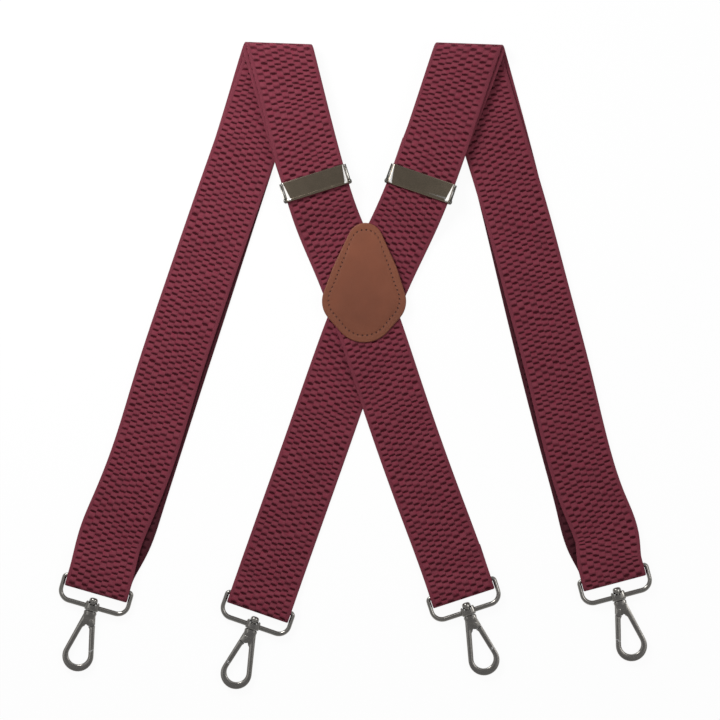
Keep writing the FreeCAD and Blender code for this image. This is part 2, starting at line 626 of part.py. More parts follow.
def build():
    """All sub-parts by node name, before the origin is moved."""
    nodes = {}
    clip = {"ring": clip_ring(), "swivel_rivet": swivel_rivet(), "hook": hook_body(), "gate": gate(),
            "gate_pin": gate_pin(), "gate_spring": gate_spring()}
    fitting = {"adjuster_frame": adjuster_frame(), "adjuster_lever": adjuster_lever(),
               "lever_pin": lever_pin()}
    for name, s in STRAPS.items():
        frames = plan_frames(s)
        webbing, inside_fold = main_webbing(s, frames)
        tail = tail_webbing(s, frames, inside_fold)
        if s["mirror"]:
            webbing, tail = mirrored(webbing), mirrored(tail)
        nodes[f"{name}_webbing"], nodes[f"{name}_webbing_tail"] = webbing, tail
        for end in ("front", "back"):
            for piece, shape in clip.items():
                turned = shape
                if piece.startswith(("hook", "gate")) and gate_flipped(name, end):
                    turned = shape.copy().rotate(Vector(), Vector(0, 1, 0), 180)
                nodes[f"{name}_{end}_{piece}"] = placed(turned, clip_placement(s, end))
        for piece, shape in fitting.items():
            nodes[f"{name}_{piece}"] = placed(shape, adjuster_placement(s))
    nodes["patch_leather"] = patch(PATCH_Z, PATCH_Z + LEATHER)
    nodes["patch_backing"] = patch(0, LEATHER)
    return nodes


def gate_flipped(name, end):
    """The gates of the left webbing's clips open on +X, those of the right webbing's on -X."""
    return name == "right"


def placed(shape, placement):
    moved = shape.copy()
    moved.Placement = placement.multiply(moved.Placement)
    return moved


def origin_shift(nodes):
    """The move that puts the origin at the middle of the box, on the surface."""
    bounds = Part.makeCompound(list(nodes.values())).optimalBoundingBox(False)
    return Vector(-bounds.Center.x, -bounds.Center.y, -bounds.ZMin)


def main():
    os.makedirs("parts", exist_ok=True)
    nodes = build()
    shift = origin_shift(nodes)
    for name, shape in nodes.items():
        shape.translate(shift)
        shape.exportStep(f"parts/{name}.step")
    print("nodes", len(nodes), "shift", shift)


if __name__ == "__main__":
    main()
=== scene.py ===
"""X-back trouser braces laid flat with the shoulders folded over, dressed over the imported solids.

Sizes in the classes are millimetres, in each fitting's own frame: x across the webbing, y up
towards the shoulder fold, z from the surface. A placement turns them into metres in the model's
frame.
"""

from __future__ import annotations

import json
import logging
import math
from dataclasses import dataclass
from enum import Enum

import bmesh
import bpy
from mathutils import Matrix, Vector

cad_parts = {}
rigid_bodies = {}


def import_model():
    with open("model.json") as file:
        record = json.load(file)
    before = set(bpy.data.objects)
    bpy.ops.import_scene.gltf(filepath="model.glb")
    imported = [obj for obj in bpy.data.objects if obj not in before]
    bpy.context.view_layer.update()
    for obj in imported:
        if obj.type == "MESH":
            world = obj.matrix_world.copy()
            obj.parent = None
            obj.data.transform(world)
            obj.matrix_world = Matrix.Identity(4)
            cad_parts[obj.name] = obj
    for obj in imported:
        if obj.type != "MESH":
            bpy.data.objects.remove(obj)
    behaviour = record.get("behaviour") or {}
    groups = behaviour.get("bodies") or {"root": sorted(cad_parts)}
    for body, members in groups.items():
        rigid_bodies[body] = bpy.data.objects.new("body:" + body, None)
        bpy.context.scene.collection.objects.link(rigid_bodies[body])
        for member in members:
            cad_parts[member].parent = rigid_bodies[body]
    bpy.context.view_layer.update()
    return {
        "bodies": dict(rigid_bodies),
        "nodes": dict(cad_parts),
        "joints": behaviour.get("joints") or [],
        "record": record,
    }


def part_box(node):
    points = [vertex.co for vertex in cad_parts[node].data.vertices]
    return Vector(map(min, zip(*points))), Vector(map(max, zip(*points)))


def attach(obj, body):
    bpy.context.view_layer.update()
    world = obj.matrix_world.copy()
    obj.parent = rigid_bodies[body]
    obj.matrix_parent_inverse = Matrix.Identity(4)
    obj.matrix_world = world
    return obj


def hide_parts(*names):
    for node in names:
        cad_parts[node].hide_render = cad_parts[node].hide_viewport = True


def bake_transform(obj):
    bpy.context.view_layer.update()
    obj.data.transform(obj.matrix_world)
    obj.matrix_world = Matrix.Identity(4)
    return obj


LOG = logging.getLogger("braces")
MM = 0.001
UP = Vector((0, 0, 1))
WIRE = 3.3

Pair = tuple[float, float]
Triple = tuple[float, float, float]
Colour = tuple[int, int, int]
Mesh = bmesh.types.BMesh
Station = tuple[Vector, Vector, Vector]


class Side(Enum):
    """The two webbings, by the side of the chest that they cross."""

    LEFT = "left"
    RIGHT = "right"


class End(Enum):
    """The two ends of a webbing."""

    FRONT = "front"
    BACK = "back"


# ---------------------------------------------------------------- geometry helpers


def heading(lean: float) -> Vector:
    """The plan direction that leans this many degrees from +Y towards +X."""
    return Vector((math.sin(math.radians(lean)), math.cos(math.radians(lean)), 0))


def flat(place: Pair | Vector) -> Vector:
    """The point on the surface under a place."""
    return Vector((place[0], place[1], 0))


def ray(angle: float) -> Vector:
    """The direction at an angle from X towards Y."""
    return Vector((math.cos(angle), math.sin(angle), 0))


def turns(count: int) -> list[float]:
    """The angles that part a full turn into equal steps."""
    return [2 * math.pi * k / count for k in range(count)]


def eased(levels: list[Pair], distance: float) -> float:
    """The height at a distance along a leg.

    Args:
        levels: pairs of distance and height, in order.
        distance: where along the leg.

    Returns:
        The height, eased between the pairs on either side.
    """
    for (d0, z0), (d1, z1) in zip(levels, levels[1:]):
        if distance <= d1:
            t = min(max((distance - d0) / (d1 - d0), 0.0), 1.0)
            return z0 + (z1 - z0) * t * t * (3 - 2 * t)
    return levels[-1][1]


def measured(line: list[Vector]) -> list[float]:
    """The distance from a line's start at each of its points.

    Args:
        line: the points.

    Returns:
        One distance for each.
    """
    reach = [0.0]
    for a, b in zip(line, line[1:]):
        reach.append(reach[-1] + (b - a).length)
    return reach


class PlanLine:
    """A smooth line in plan through points, with set directions at its ends."""

    def __init__(self, points: list[Vector], first: Vector, last: Vector) -> None:
        """Solves the line's slopes and measures it.

        Args:
            points: places on the line.
            first: direction at the first point.
            last: direction at the last point.
        """
        self.places: list[Vector] = []
        gaps = [(b - a).length for a, b in zip(points, points[1:])]
        slopes = self._slopes(points, gaps, first.normalized(), last.normalized())
        for i, gap in enumerate(gaps):
            steps = max(2, int(gap))
            for k in range(steps + (i == len(gaps) - 1)):
                t = k / steps
                bend = slopes[i] * (t * (1 - t) ** 2) + slopes[i + 1] * (t * t * (t - 1))
                self.places.append(points[i].lerp(points[i + 1], t * t * (3 - 2 * t)) + bend * gap)
        self.reach = measured(self.places)
        self.length = self.reach[-1]

    @staticmethod
    def _slopes(
        points: list[Vector], gaps: list[float], first: Vector, last: Vector
    ) -> list[Vector]:
        """The slopes that make the line's curvature run on through each point.

        Args:
            points: places on the line.
            gaps: distances between neighbouring points.
            first: slope at the first point.
            last: slope at the last point.

        Returns:
            One slope for each point.
        """
        slopes = [first] + [Vector((0, 0, 0)) for _ in points[2:]] + [last]
        rounds_to_settle = 60
        for _ in range(rounds_to_settle):
            for i in range(1, len(points) - 1):
                before, after = gaps[i - 1], gaps[i]
                pull = (points[i] - points[i - 1]) * (after / before)
                pull += (points[i + 1] - points[i]) * (before / after)
                pull = pull * 3 - slopes[i - 1] * after - slopes[i + 1] * before
                slopes[i] = pull / (2 * (before + after))
        return slopes

    def at(self, distance: float) -> tuple[Vector, Vector]:
        """The place and the direction at a distance from the start.

        Args:
            distance: along the line.

        Returns:
            The place, and the direction there.
        """
        low = 0
        while low < len(self.reach) - 2 and self.reach[low + 1] < distance:
            low += 1
        span = self.reach[low + 1] - self.reach[low]
        a, b = self.places[low], self.places[low + 1]
        return a.lerp(b, (distance - self.reach[low]) / span), (b - a).normalized()

    def distance_at(self, y: float) -> float:
        """The distance from the start at which the line passes y."""
        return min(zip(self.reach, self.places), key=lambda pair: abs(pair[1].y - y))[0]


def hugging(discs: tuple[Triple, ...], arc_steps: int, line_steps: int) -> list[Vector]:
    """The closed outline that hugs discs, as a belt hugs pulleys.

    Args:
        discs: x, y and radius of each disc, anticlockwise.
        arc_steps: steps on each arc.
        line_steps: steps on each straight between two arcs.

    Returns:
        The outline's points, arc by arc and straight by straight.
    """
    leaving = []
    for (x1, y1, r1), (x2, y2, r2) in zip(discs, discs[1:] + discs[:1]):
        lean = math.asin((r1 - r2) / math.hypot(x2 - x1, y2 - y1))
        leaving.append(math.atan2(y2 - y1, x2 - x1) - math.pi / 2 + lean)
    arcs = []
    for i, (x, y, radius) in enumerate(discs):
        turn = (leaving[i] - leaving[i - 1]) % (2 * math.pi)
        angles = [leaving[i - 1] + turn * k / arc_steps for k in range(arc_steps + 1)]
        arcs.append([flat((x, y)) + ray(angle) * radius for angle in angles])
    outline = []
    for arc, following in zip(arcs, arcs[1:] + arcs[:1]):
        outline += arc
        outline += [arc[-1].lerp(following[0], k / line_steps) for k in range(1, line_steps)]
    return outline


def loft(
    sections: list[list[Vector]],
    across: list[float] | None = None,
    along: list[float] | None = None,
    closed: bool = False,
) -> Mesh:
    """Bends a grid into a tube through closed sections, and fills the ends of an open one.

    Args:
        sections: closed sections with equal numbers of points.
        across: the map's first coordinate at each point of a section and back at its start.
        along: the map's second coordinate at each section.
        closed: whether the last section joins the first.

    Returns:
        The closed tube.
    """
    rows = sections + sections[:1] if closed else sections
    wide, tall = len(rows[0]), len(rows) - 1
    bm = bmesh.new()
    layer = bm.loops.layers.uv.new("UVMap")
    bmesh.ops.create_grid(bm, x_segments=wide, y_segments=tall, size=1.0)
    spots = {v: (round((v.co.x + 1) / 2 * wide), round((v.co.y + 1) / 2 * tall)) for v in bm.verts}
    for face in bm.faces:
        for corner in face.loops:
            i, j = spots[corner.vert]
            corner[layer].uv = (across[i] if across else i / wide, along[j] if along else j / tall)
    for vert, (i, j) in spots.items():
        vert.co = rows[j][i % wide]
    bmesh.ops.remove_doubles(bm, verts=bm.verts[:], dist=1e-5)
    if not closed:
        bmesh.ops.holes_fill(bm, edges=[e for e in bm.edges if e.is_boundary], sides=0)
    return bm


def spun(profile: list[Pair], steps: int = 32) -> Mesh:
    """Turns a profile about the Y axis into a closed solid.

    Args:
        profile: pairs of radius and y, from one pole to the other.
        steps: steps round the turn.

    Returns:
        The solid.
    """
    bm = bmesh.new()
    verts = [bm.verts.new((radius, y, 0)) for radius, y in profile]
    line = verts + [bm.edges.new(pair) for pair in zip(verts, verts[1:])]
    whole = {"cent": (0, 0, 0), "axis": (0, 1, 0), "angle": 2 * math.pi, "use_merge": True}
    bmesh.ops.spin(bm, geom=line, steps=steps, **whole)
    bmesh.ops.remove_doubles(bm, verts=bm.verts[:], dist=1e-4)
    return bm


def rod(radius: float, start: float, stop: float) -> Mesh:
    """A plain rod about the Y axis."""
    return spun([(0, start), (radius, start), (radius, stop), (0, stop)])


def headed_pin(head: tuple[Pair, ...], reach: float, steps: int, place: Matrix) -> Mesh:
    """A pin with the same low head at both ends.

    Args:
        head: pairs of radius and distance past reach, from the pole down to the shank.
        reach: half the length between the heads.
        steps: steps round the pin.
        place: from the pin's own frame, where it lies along Y.

    Returns:
        The solid.
    """
    profile = [(radius, reach + past) for radius, past in head]
    bm = spun(profile + [(radius, -y) for radius, y in reversed(profile)], steps)
    bmesh.ops.transform(bm, matrix=place, verts=bm.verts[:])
    return bm


def prism(bm: Mesh, outline: list[Vector], way: Vector) -> None:
    """Draws a flat outline out into a closed solid.

    Args:
        bm: where the solid is added.
        outline: the outline's corners.
        way: how far and which way it is drawn.
    """
    known = set(bm.faces)
    base = bm.faces.new([bm.verts.new(corner) for corner in outline])
    grown = bmesh.ops.extrude_face_region(bm, geom=[base], use_keep_orig=True)["geom"]
    moved = [g for g in grown if isinstance(g, bmesh.types.BMVert)]
    bmesh.ops.translate(bm, verts=moved, vec=way)
    bmesh.ops.recalc_face_normals(bm, faces=[f for f in bm.faces if f not in known])


def carved(bm: Mesh, *tools: Mesh, operation: str = "DIFFERENCE") -> Mesh:
    """Cuts, joins or trims one closed solid by others, one after another.

    Args:
        bm: the solid, which is used up.
        tools: the other solids, which are used up.
        operation: DIFFERENCE, UNION or INTERSECT.

    Returns:
        The new solid.
    """
    for tool in tools:
        objects = []
        for part in (bm, tool):
            bmesh.ops.recalc_face_normals(part, faces=part.faces[:])
            mesh = bpy.data.meshes.new("carving")
            part.to_mesh(mesh)
            part.free()
            objects.append(bpy.data.objects.new("carving", mesh))
            bpy.context.scene.collection.objects.link(objects[-1])
        cut = objects[0].modifiers.new("carving", "BOOLEAN")
        cut.operation, cut.solver, cut.object = operation, "EXACT", objects[1]
        graph = bpy.context.evaluated_depsgraph_get()
        bm = bmesh.new()
        bm.from_mesh(objects[0].evaluated_get(graph).to_mesh())
        for mesh in [spare.data for spare in objects]:
            bpy.data.meshes.remove(mesh)
        bmesh.ops.remove_doubles(bm, verts=bm.verts[:], dist=1e-4)
    return bm


def piece(
    bm: Mesh,
    name: str,
    finish: bpy.types.Material,
    placement: Matrix = Matrix(),
    sharp: float = 35.0,
) -> bpy.types.Object:
    """Makes a finished object of a mesh in millimetres.

    Args:
        bm: the mesh, which is used up.
        name: the object's name.
        finish: its material.
        placement: from the mesh's own frame to the model's, both in millimetres.
        sharp: the angle in degrees past which an edge stays crisp.

    Returns:
        The object, with its place in its mesh.
    """
    bmesh.ops.transform(bm, matrix=Matrix.Scale(MM, 4) @ placement, verts=bm.verts[:])
    bmesh.ops.recalc_face_normals(bm, faces=bm.faces[:])
    for face in bm.faces:
        face.smooth = True
    for edge in bm.edges:
        if edge.is_manifold and edge.calc_face_angle(0.0) > math.radians(sharp):
            edge.smooth = False
    mesh = bpy.data.meshes.new(name)
    bm.to_mesh(mesh)
    bm.free()
    mesh.materials.append(finish)
    result = bpy.data.objects.new(name, mesh)
    bpy.context.scene.collection.objects.link(result)
    LOG.info("%s: %d faces", name, len(mesh.polygons))
    return result


def stand_for(made: bpy.types.Object, body: str, node: str) -> None:
    """Lets a piece stand for a node.

    Args:
        made: the piece.
        body: the body it rides on.
        node: the node it replaces.
    """
    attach(made, body)
    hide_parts(node)


# ---------------------------------------------------------------- shader helpers


def tint(red: float, green: float, blue: float) -> tuple[float, float, float, float]:
    """The linear colour of a display colour.

    Args:
        red: from 0 to 255.
        green: from 0 to 255.
        blue: from 0 to 255.

    Returns:
        The four channels that a shader takes.
    """
    shares = [c / 255 for c in (red, green, blue)]
    linear = [s / 12.92 if s <= 0.04 else ((s + 0.055) / 1.055) ** 2.4 for s in shares]
    return linear[0], linear[1], linear[2], 1.0


class Value:
    """A socket's value, for sums in plain signs."""

    def __init__(self, graph: Graph, socket: bpy.types.NodeSocket) -> None:
        """Keeps the socket and its graph."""
        self.graph, self.socket = graph, socket

    def __add__(self, other: object) -> Value:
        """The sum."""
        return self.graph.math("ADD", self, other)

    def __sub__(self, other: object) -> Value:
        """The difference."""
        return self.graph.math("SUBTRACT", self, other)

    def __rsub__(self, other: float) -> Value:
        """The difference from a number."""
        return self.graph.math("SUBTRACT", other, self)

    def __mul__(self, other: object) -> Value:
        """The product."""
        return self.graph.math("MULTIPLY", self, other)

    def __truediv__(self, other: object) -> Value:
        """The quotient."""
        return self.graph.math("DIVIDE", self, other)

    def __abs__(self) -> Value:
        """The value without its sign."""
        return self.graph.math("ABSOLUTE", self)

    def clamped(self) -> Value:
        """The value kept between 0 and 1."""
        return self.graph.math("ADD", self, 0.0, clamp=True)

    def remap(self, low: float, high: float, to_low: float = 0.0, to_high: float = 1.0) -> Value:
        """The value eased from one range to another."""
        inputs = {0: self, 1: low, 2: high, 3: to_low, 4: to_high}
        return self.graph.get("MapRange", inputs, interpolation_type="SMOOTHSTEP")


class Graph:
    """A short way to write shader nodes."""

    def __init__(self, tree: bpy.types.NodeTree) -> None:
        """Works on one node tree."""
        self.tree = tree

    def fill(self, node: bpy.types.Node, inputs: dict[object, object]) -> None:
        """Links or sets a node's inputs.

        Args:
            node: the node.
            inputs: values by input name or number. Three numbers on a colour are a display colour.
        """
        for key, value in inputs.items():
            socket = node.inputs[key]
            if isinstance(value, Value):
                self.tree.links.new(value.socket, socket)
            elif socket.type == "RGBA" and len(value) == 3:
                socket.default_value = tint(*value)
            else:
                socket.default_value = value

    def get(
        self,
        kind: str,
        inputs: dict[object, object] | None = None,
        output: int | str = 0,
        **settings: object,
    ) -> Value:
        """Adds a node and reads one of its outputs.

        Args:
            kind: the node's type, without ShaderNode.
            inputs: values by input name or number.
            output: the output's name or number.
            settings: the node's own settings.

        Returns:
            The output.
        """
        node = self.tree.nodes.new("ShaderNode" + kind)
        for key, value in settings.items():
            setattr(node, key, value)
        self.fill(node, inputs or {})
        return Value(self, node.outputs[output])

    def end(self, kind: str, surface: Value) -> None:
        """Feeds the tree's output node."""
        self.fill(self.tree.nodes.new("ShaderNode" + kind), {0: surface})

    def outputs(self, value: Value) -> dict[str, Value]:
        """All outputs of the node that a value comes from, by name."""
        return {socket.name: Value(self, socket) for socket in value.socket.node.outputs}

    def math(self, operation: str, *values: object, clamp: bool = False) -> Value:
        """The result of a math node."""
        return self.get("Math", dict(enumerate(values)), operation=operation, use_clamp=clamp)

    def mix(self, factor: object, first: object, second: object) -> Value:
        """A blend of two colours."""
        return self.get("Mix", {0: factor, 6: first, 7: second}, output=2, data_type="RGBA")

    def noise(self, vector: Value, scale: float, detail: float = 2.0, rough: float = 0.5) -> Value:
        """Smooth noise from 0 to 1."""
        inputs = {"Vector": vector, "Scale": scale, "Detail": detail, "Roughness": rough}
        return self.get("TexNoise", inputs, output="Fac")

    def vector(self, x: Value, y: Value, z: float = 0.0) -> Value:
        """A vector of three values."""
        return self.get("CombineXYZ", {0: x, 1: y, 2: z})

    def split(self, vector: Value) -> list[Value]:
        """The three values of a vector."""
        return list(self.outputs(self.get("SeparateXYZ", {0: vector})).values())

    def place(self) -> Value:
        """The Object coordinates, in metres."""
        return self.get("TexCoord", output="Object")

    def mapped(self) -> tuple[Value, Value]:
        """The pieces' own map, in millimetres."""
        u, v, _ = self.split(self.get("UVMap", uv_map="UVMap"))
        return u / MM, v / MM

    def effect(self, tree: bpy.types.NodeTree, vector: Value) -> dict[str, Value]:
        """The outputs of an effect at a vector."""
        return self.outputs(self.get("Group", {"Vector": vector}, node_tree=tree))

    def bump(self, height: Value, strength: float, distance: float) -> Value:
        """The normal over a height."""
        return self.get("Bump", {"Height": height, "Strength": strength, "Distance": distance})


def open_effect(name: str) -> tuple[Graph, Value]:
    """Starts a node group that is read at a vector.

    Args:
        name: the group's name.

    Returns:
        Its graph and the vector.
    """
    tree = bpy.data.node_groups.new(name, "ShaderNodeTree")
    tree.interface.new_socket(name="Vector", in_out="INPUT", socket_type="NodeSocketVector")
    g = Graph(tree)
    return g, Value(g, tree.nodes.new("NodeGroupInput").outputs[0])


def close_effect(g: Graph, outputs: dict[str, Value]) -> bpy.types.NodeTree:
    """Gives a node group its outputs.

    Args:
        g: the group's graph.
        outputs: masks or heights by name.

    Returns:
        The group.
    """
    for name in outputs:
        g.tree.interface.new_socket(name=name, in_out="OUTPUT", socket_type="NodeSocketFloat")
    g.fill(g.tree.nodes.new("NodeGroupOutput"), outputs)
    return g.tree


def blank_graph(owner: bpy.types.Material | bpy.types.World) -> Graph:
    """Empties the node tree of a material or a world.

    Args:
        owner: the material or world.

    Returns:
        The tree's graph.
    """
    owner.use_nodes = True
    owner.node_tree.nodes.clear()
    return Graph(owner.node_tree)


def blank_material(name: str) -> tuple[bpy.types.Material, Graph, bpy.types.Node]:
    """A material with a bare Principled shader.

    Args:
        name: the material's name.

    Returns:
        The material, its graph and the shader.
    """
    material = bpy.data.materials.new(name)
    g = blank_graph(material)
    surface = g.get("BsdfPrincipled")
    g.end("OutputMaterial", surface)
    return material, g, surface.socket.node


# ---------------------------------------------------------------- finishes


class Effects:
    """The surface effects that more than one finish or piece uses, each built once."""

    def __init__(self) -> None:
        """Builds the node groups."""
        self.weave = self._weave()
        self.wear_and_shade = self._marks_and_shade()
        self.grain = self._grain()

    @staticmethod
    def _weave() -> bpy.types.NodeTree:
        """Basket weave of narrow webbing: columns of raised pillows parted by short dark gaps.

        Returns:
            The group. Its vector is millimetres across and along the webbing, and its outputs are
            masks and a height from 0 to 1.
        """
        column, pitch, half = 5.0, 5.0, 22.5
        g, vector = open_effect("basket weave")
        x, y, _ = g.split(vector)
        columns = (x + half) / column
        which = g.math("FLOOR", columns)
        beside = g.math("FRACT", columns) - 0.5
        middle = g.vector(which * column, y)
        lean = (g.noise(middle, 0.21, 1.0) - 0.5) * 1.8
        tremble = (g.noise(middle, 0.13, 1.0) - 0.5) * 2.2
        drift = (g.noise(middle, 0.028) - 0.5) * 9.0 + tremble + lean * beside
        row = (y + drift) / pitch + g.math("FLOORED_MODULO", which, 2.0) * 0.5
        level = g.math("FLOOR", row + 0.5)
        above = abs(row - level)
        spread = beside * beside
        places = {"Vector": g.vector(which, level, 3.0)}
        cell = g.get("TexWhiteNoise", places, output="Value", noise_dimensions="3D")
        lens = (1.0 - spread * 3.5).clamped()
        ragged = g.noise(vector, 1.1, 1.0) * 0.09 - 0.045
        gap = (above - lens * (cell * 0.045 + 0.115) - ragged).remap(0.045, -0.05)
        selvedge = (abs(x) - half).remap(-0.9, 0.5)
        inside = 1.0 - selvedge
        gap = gap * inside * (cell * 0.5 + 0.5)
        crown = above.remap(0.02, 0.36) * (1.0 - spread * 1.1)
        thread = g.noise(g.vector(x * 2.6, y * 0.55), 1.0, 3.0, 0.65)
        height = crown * inside + selvedge * 0.7 + thread * 0.22 - gap * 0.55
        masks = {"Gap": gap, "Thread": thread, "Cell": cell, "Selvedge": selvedge}
        return close_effect(g, {**masks, "Height": height})

    @staticmethod
    def _marks_and_shade() -> bpy.types.NodeTree:
        """Marks of a plated part: worn edges, faint scratches and a cloudy tone, with painted shade
        from ambient occlusion in hollows and beside other parts.

        Returns:
            The group. Its vector is a place in metres.
        """
        g, vector = open_effect("plating marks and occlusion shade")
        sharp = g.get("NewGeometry", output="Pointiness").remap(0.515, 0.60)
        edge = sharp * (g.noise(vector, 1400.0, 3.0).remap(0.35, 0.65) * 0.6 + 0.4)
        stretch = {"Vector": vector, "Rotation": (0.0, 0.0, 0.6), "Scale": (1.0, 14.0, 1.0)}
        scratch = g.noise(g.get("Mapping", stretch), 420.0, 4.0, 0.7).remap(0.62, 0.78)
        cloud = g.noise(vector, 160.0, 3.0, 0.55)
        # ambient occlusion, which the metals use as painted shade
        shelter = g.get("AmbientOcclusion", {"Distance": 0.0018}, output="AO", samples=6)
        occlusion_shade = shelter.remap(0.6, 0.28)
        masks = {"Edge": edge, "Scratch": scratch, "Cloud": cloud, "Occlusion shade": occlusion_shade}
        return close_effect(g, {**masks, "Height": (g.noise(vector, 2600.0) - scratch) * 0.5})

    @staticmethod
    def _grain() -> bpy.types.NodeTree:
        """Smooth split-leather grain: small cells, pores and broad mottling.

        Returns:
            The group. Its vector is a place in metres.
        """
        g, vector = open_effect("leather grain")
        inputs = {"Vector": vector, "Scale": 1500.0}
        cells = g.get("TexVoronoi", inputs, output="Distance", feature="DISTANCE_TO_EDGE")
        pores = g.noise(vector, 2600.0).remap(0.60, 0.72)
        mottle = g.noise(vector, 55.0, 3.0, 0.55)
        return close_effect(g, {"Cells": cells.remap(0.0, 0.16), "Pores": pores, "Mottle": mottle})


@dataclass(frozen=True)
class WebbingFinish:
    """Burgundy elastic webbing. Colours are display values, and the last four sizes are metres."""

    name: str = "elastic webbing"
    raised: Colour = (124, 54, 67)
    body: Colour = (76, 26, 36)
    red: Colour = (124, 42, 60)
    gap: Colour = (56, 7, 17)
    selvedge: Colour = (106, 45, 57)
    sheen: Colour = (190, 110, 120)
    # painted shade: colour of the lower ply where it lies beside the upper ply in the front legs
    under_ply_shade: Colour = (44, 10, 18)
    width: float = 50.0
    turn: float = 51.8
    taut_from: float = 0.232
    taut_over: float = 0.017
    under_shade_level: float = 0.0026
    under_shade_reach: float = 0.097

    def build(self, effects: Effects) -> bpy.types.Material:
        """Builds the material on the pieces' own map, across and along the webbing.

        Args:
            effects: the shared surface effects.

        Returns:
            The material.
        """
        material, g, shader = blank_material(self.name)
        around, along = g.mapped()
        plan = g.vector(g.math("FLOORED_MODULO", around, self.turn) - self.width / 2, along)
        weave = g.effect(effects.weave, plan)
        x, y, z = g.split(g.place())
        taut = y.remap(self.taut_from, self.taut_from + self.taut_over)
        # yarn tone with painted shade: lighter on each pillow's crown, darker towards the gaps
        tone_and_pillow_shade = weave["Thread"] * 0.6 + weave["Height"] * 0.75 + weave["Cell"] * 0.16
        tone_and_pillow_shade = tone_and_pillow_shade + g.noise(plan, 0.035, 3.0, 0.6) * 0.5 + g.noise(plan, 0.42) * 0.85 - 0.9
        colour = g.mix(tone_and_pillow_shade.clamped(), self.body, self.raised)
        colour = g.mix(g.noise(plan, 0.3).remap(0.45, 0.7) * 0.6, colour, self.red)
        colour = g.mix(weave["Selvedge"] * 0.6, colour, self.selvedge)
        # the gaps darken partly as the webbing's own pattern and partly as painted shade in the
        # recesses, fading where stretched over the fold
        colour = g.mix(weave["Gap"].remap(0.0, 0.85) * (1.0 - taut * 0.6), colour, self.gap)
        g.fill(shader, {
            # painted shade: the lower ply beside the upper ply's edge is darkened as if in its
            # shadow
            "Base Color": g.mix(self._under_ply_shade_mask(g, x, y, z), colour, self.under_ply_shade),
            "Roughness": 0.9 - weave["Height"] * 0.12,
            "Specular IOR Level": 0.16,
            "Sheen Weight": 0.06,
            "Sheen Roughness": 0.5,
            "Sheen Tint": self.sheen,
            "Normal": g.bump(weave["Height"], 0.9, 0.0007),
        })
        return material

    def _under_ply_shade_mask(self, g: Graph, x: Value, y: Value, z: Value) -> Value:
        """The painted shade on the lower ply of the front legs, where it shows beside the upper
        ply's edge as if in its shadow.

        Args:
            g: the material's graph.
            x: Object coordinate across the braces.
            y: Object coordinate up the braces.
            z: height.

        Returns:
            Its mask.
        """
        out = g.math("MAXIMUM", y, 0.0) * 0.3 + abs(x)
        mask = out.remap(self.under_shade_reach, self.under_shade_reach + 0.002) * z.remap(0.0008, 0.0014)
        mask = mask * z.remap(self.under_shade_level, self.under_shade_level - 0.0004)
        return mask * y.remap(0.15, 0.125, 0.0, 0.8)


@dataclass(frozen=True)
class LeatherFinish:
    """Tan leather with needle holes along its sewn edge. Sizes are millimetres from the edge."""

    name: str = "tan leather"
    face: Colour = (128, 71, 47)
    deep: Colour = (104, 55, 34)
    rim: Colour = (129, 78, 56)
    hole: Colour = (58, 24, 16)
    cut_edge: Colour = (96, 62, 46)
    seam_inset: float = 5.4
    stitch: float = 4.2
    hole_radius: float = 0.72

    def build(self, effects: Effects) -> bpy.types.Material:
        """Builds the material on the map, along the edge and in from it.

        Args:
            effects: the shared surface effects.

        Returns:
            The material.
        """
        material, g, shader = blank_material(self.name)
        along, inset = g.mapped()
        grain = g.effect(effects.grain, g.place())
        off = (g.math("FRACT", along / self.stitch) - 0.5) * self.stitch
        down = inset - self.seam_inset
        reach = g.math("SQRT", off * off + down * down)
        hole = reach.remap(self.hole_radius + 0.12, self.hole_radius - 0.22)
        groove = abs(down).remap(1.5, 0.2)
        tone = grain["Mottle"] * 0.9 + grain["Cells"] * 0.22 - grain["Pores"] * 0.2 - 0.1
        # painted light: the leather is lighter towards the top (+y) and darker towards the bottom
        tone = tone + g.split(g.place())[1].remap(0.03, 0.1, -0.28, 0.22)
        colour = g.mix(tone.clamped(), self.deep, self.face)
        colour = g.mix(down.remap(0.4, -0.9) * 0.12, colour, self.rim)
        colour = g.mix(inset.remap(0.25, -0.1), colour, self.cut_edge)
        height = grain["Cells"] * 0.1 - groove * 0.12 - hole * 1.2
        g.fill(shader, {
            "Base Color": g.mix(hole, colour, self.hole),
            "Roughness": grain["Mottle"] * 0.14 + grain["Pores"] * 0.15 + 0.44,
            "Specular IOR Level": 0.35,
            "Normal": g.bump(height, 0.8, 0.0004),
        })
        return material


@dataclass(frozen=True)
class ThreadFinish:
    """Waxed brown sewing thread."""

    name: str = "waxed thread"
    dark: Colour = (104, 60, 42)
    light: Colour = (128, 76, 54)

    def build(self, effects: Effects) -> bpy.types.Material:
        """Builds the material on Object coordinates.

        Args:
            effects: the shared surface effects.

        Returns:
            The material.
        """
        material, g, shader = blank_material(self.name)
        twist = {"Vector": g.place(), "Scale": 900.0, "Distortion": 1.5}
        strands = g.get("TexWave", twist, output="Fac", bands_direction="DIAGONAL")
        tone = g.effect(effects.grain, g.place())["Mottle"] * 0.4 + strands * 0.5
        g.fill(shader, {
            "Base Color": g.mix(tone.clamped(), self.dark, self.light),
            "Roughness": 0.6,
            "Normal": g.bump(strands, 0.5, 0.0001),
        })
        return material


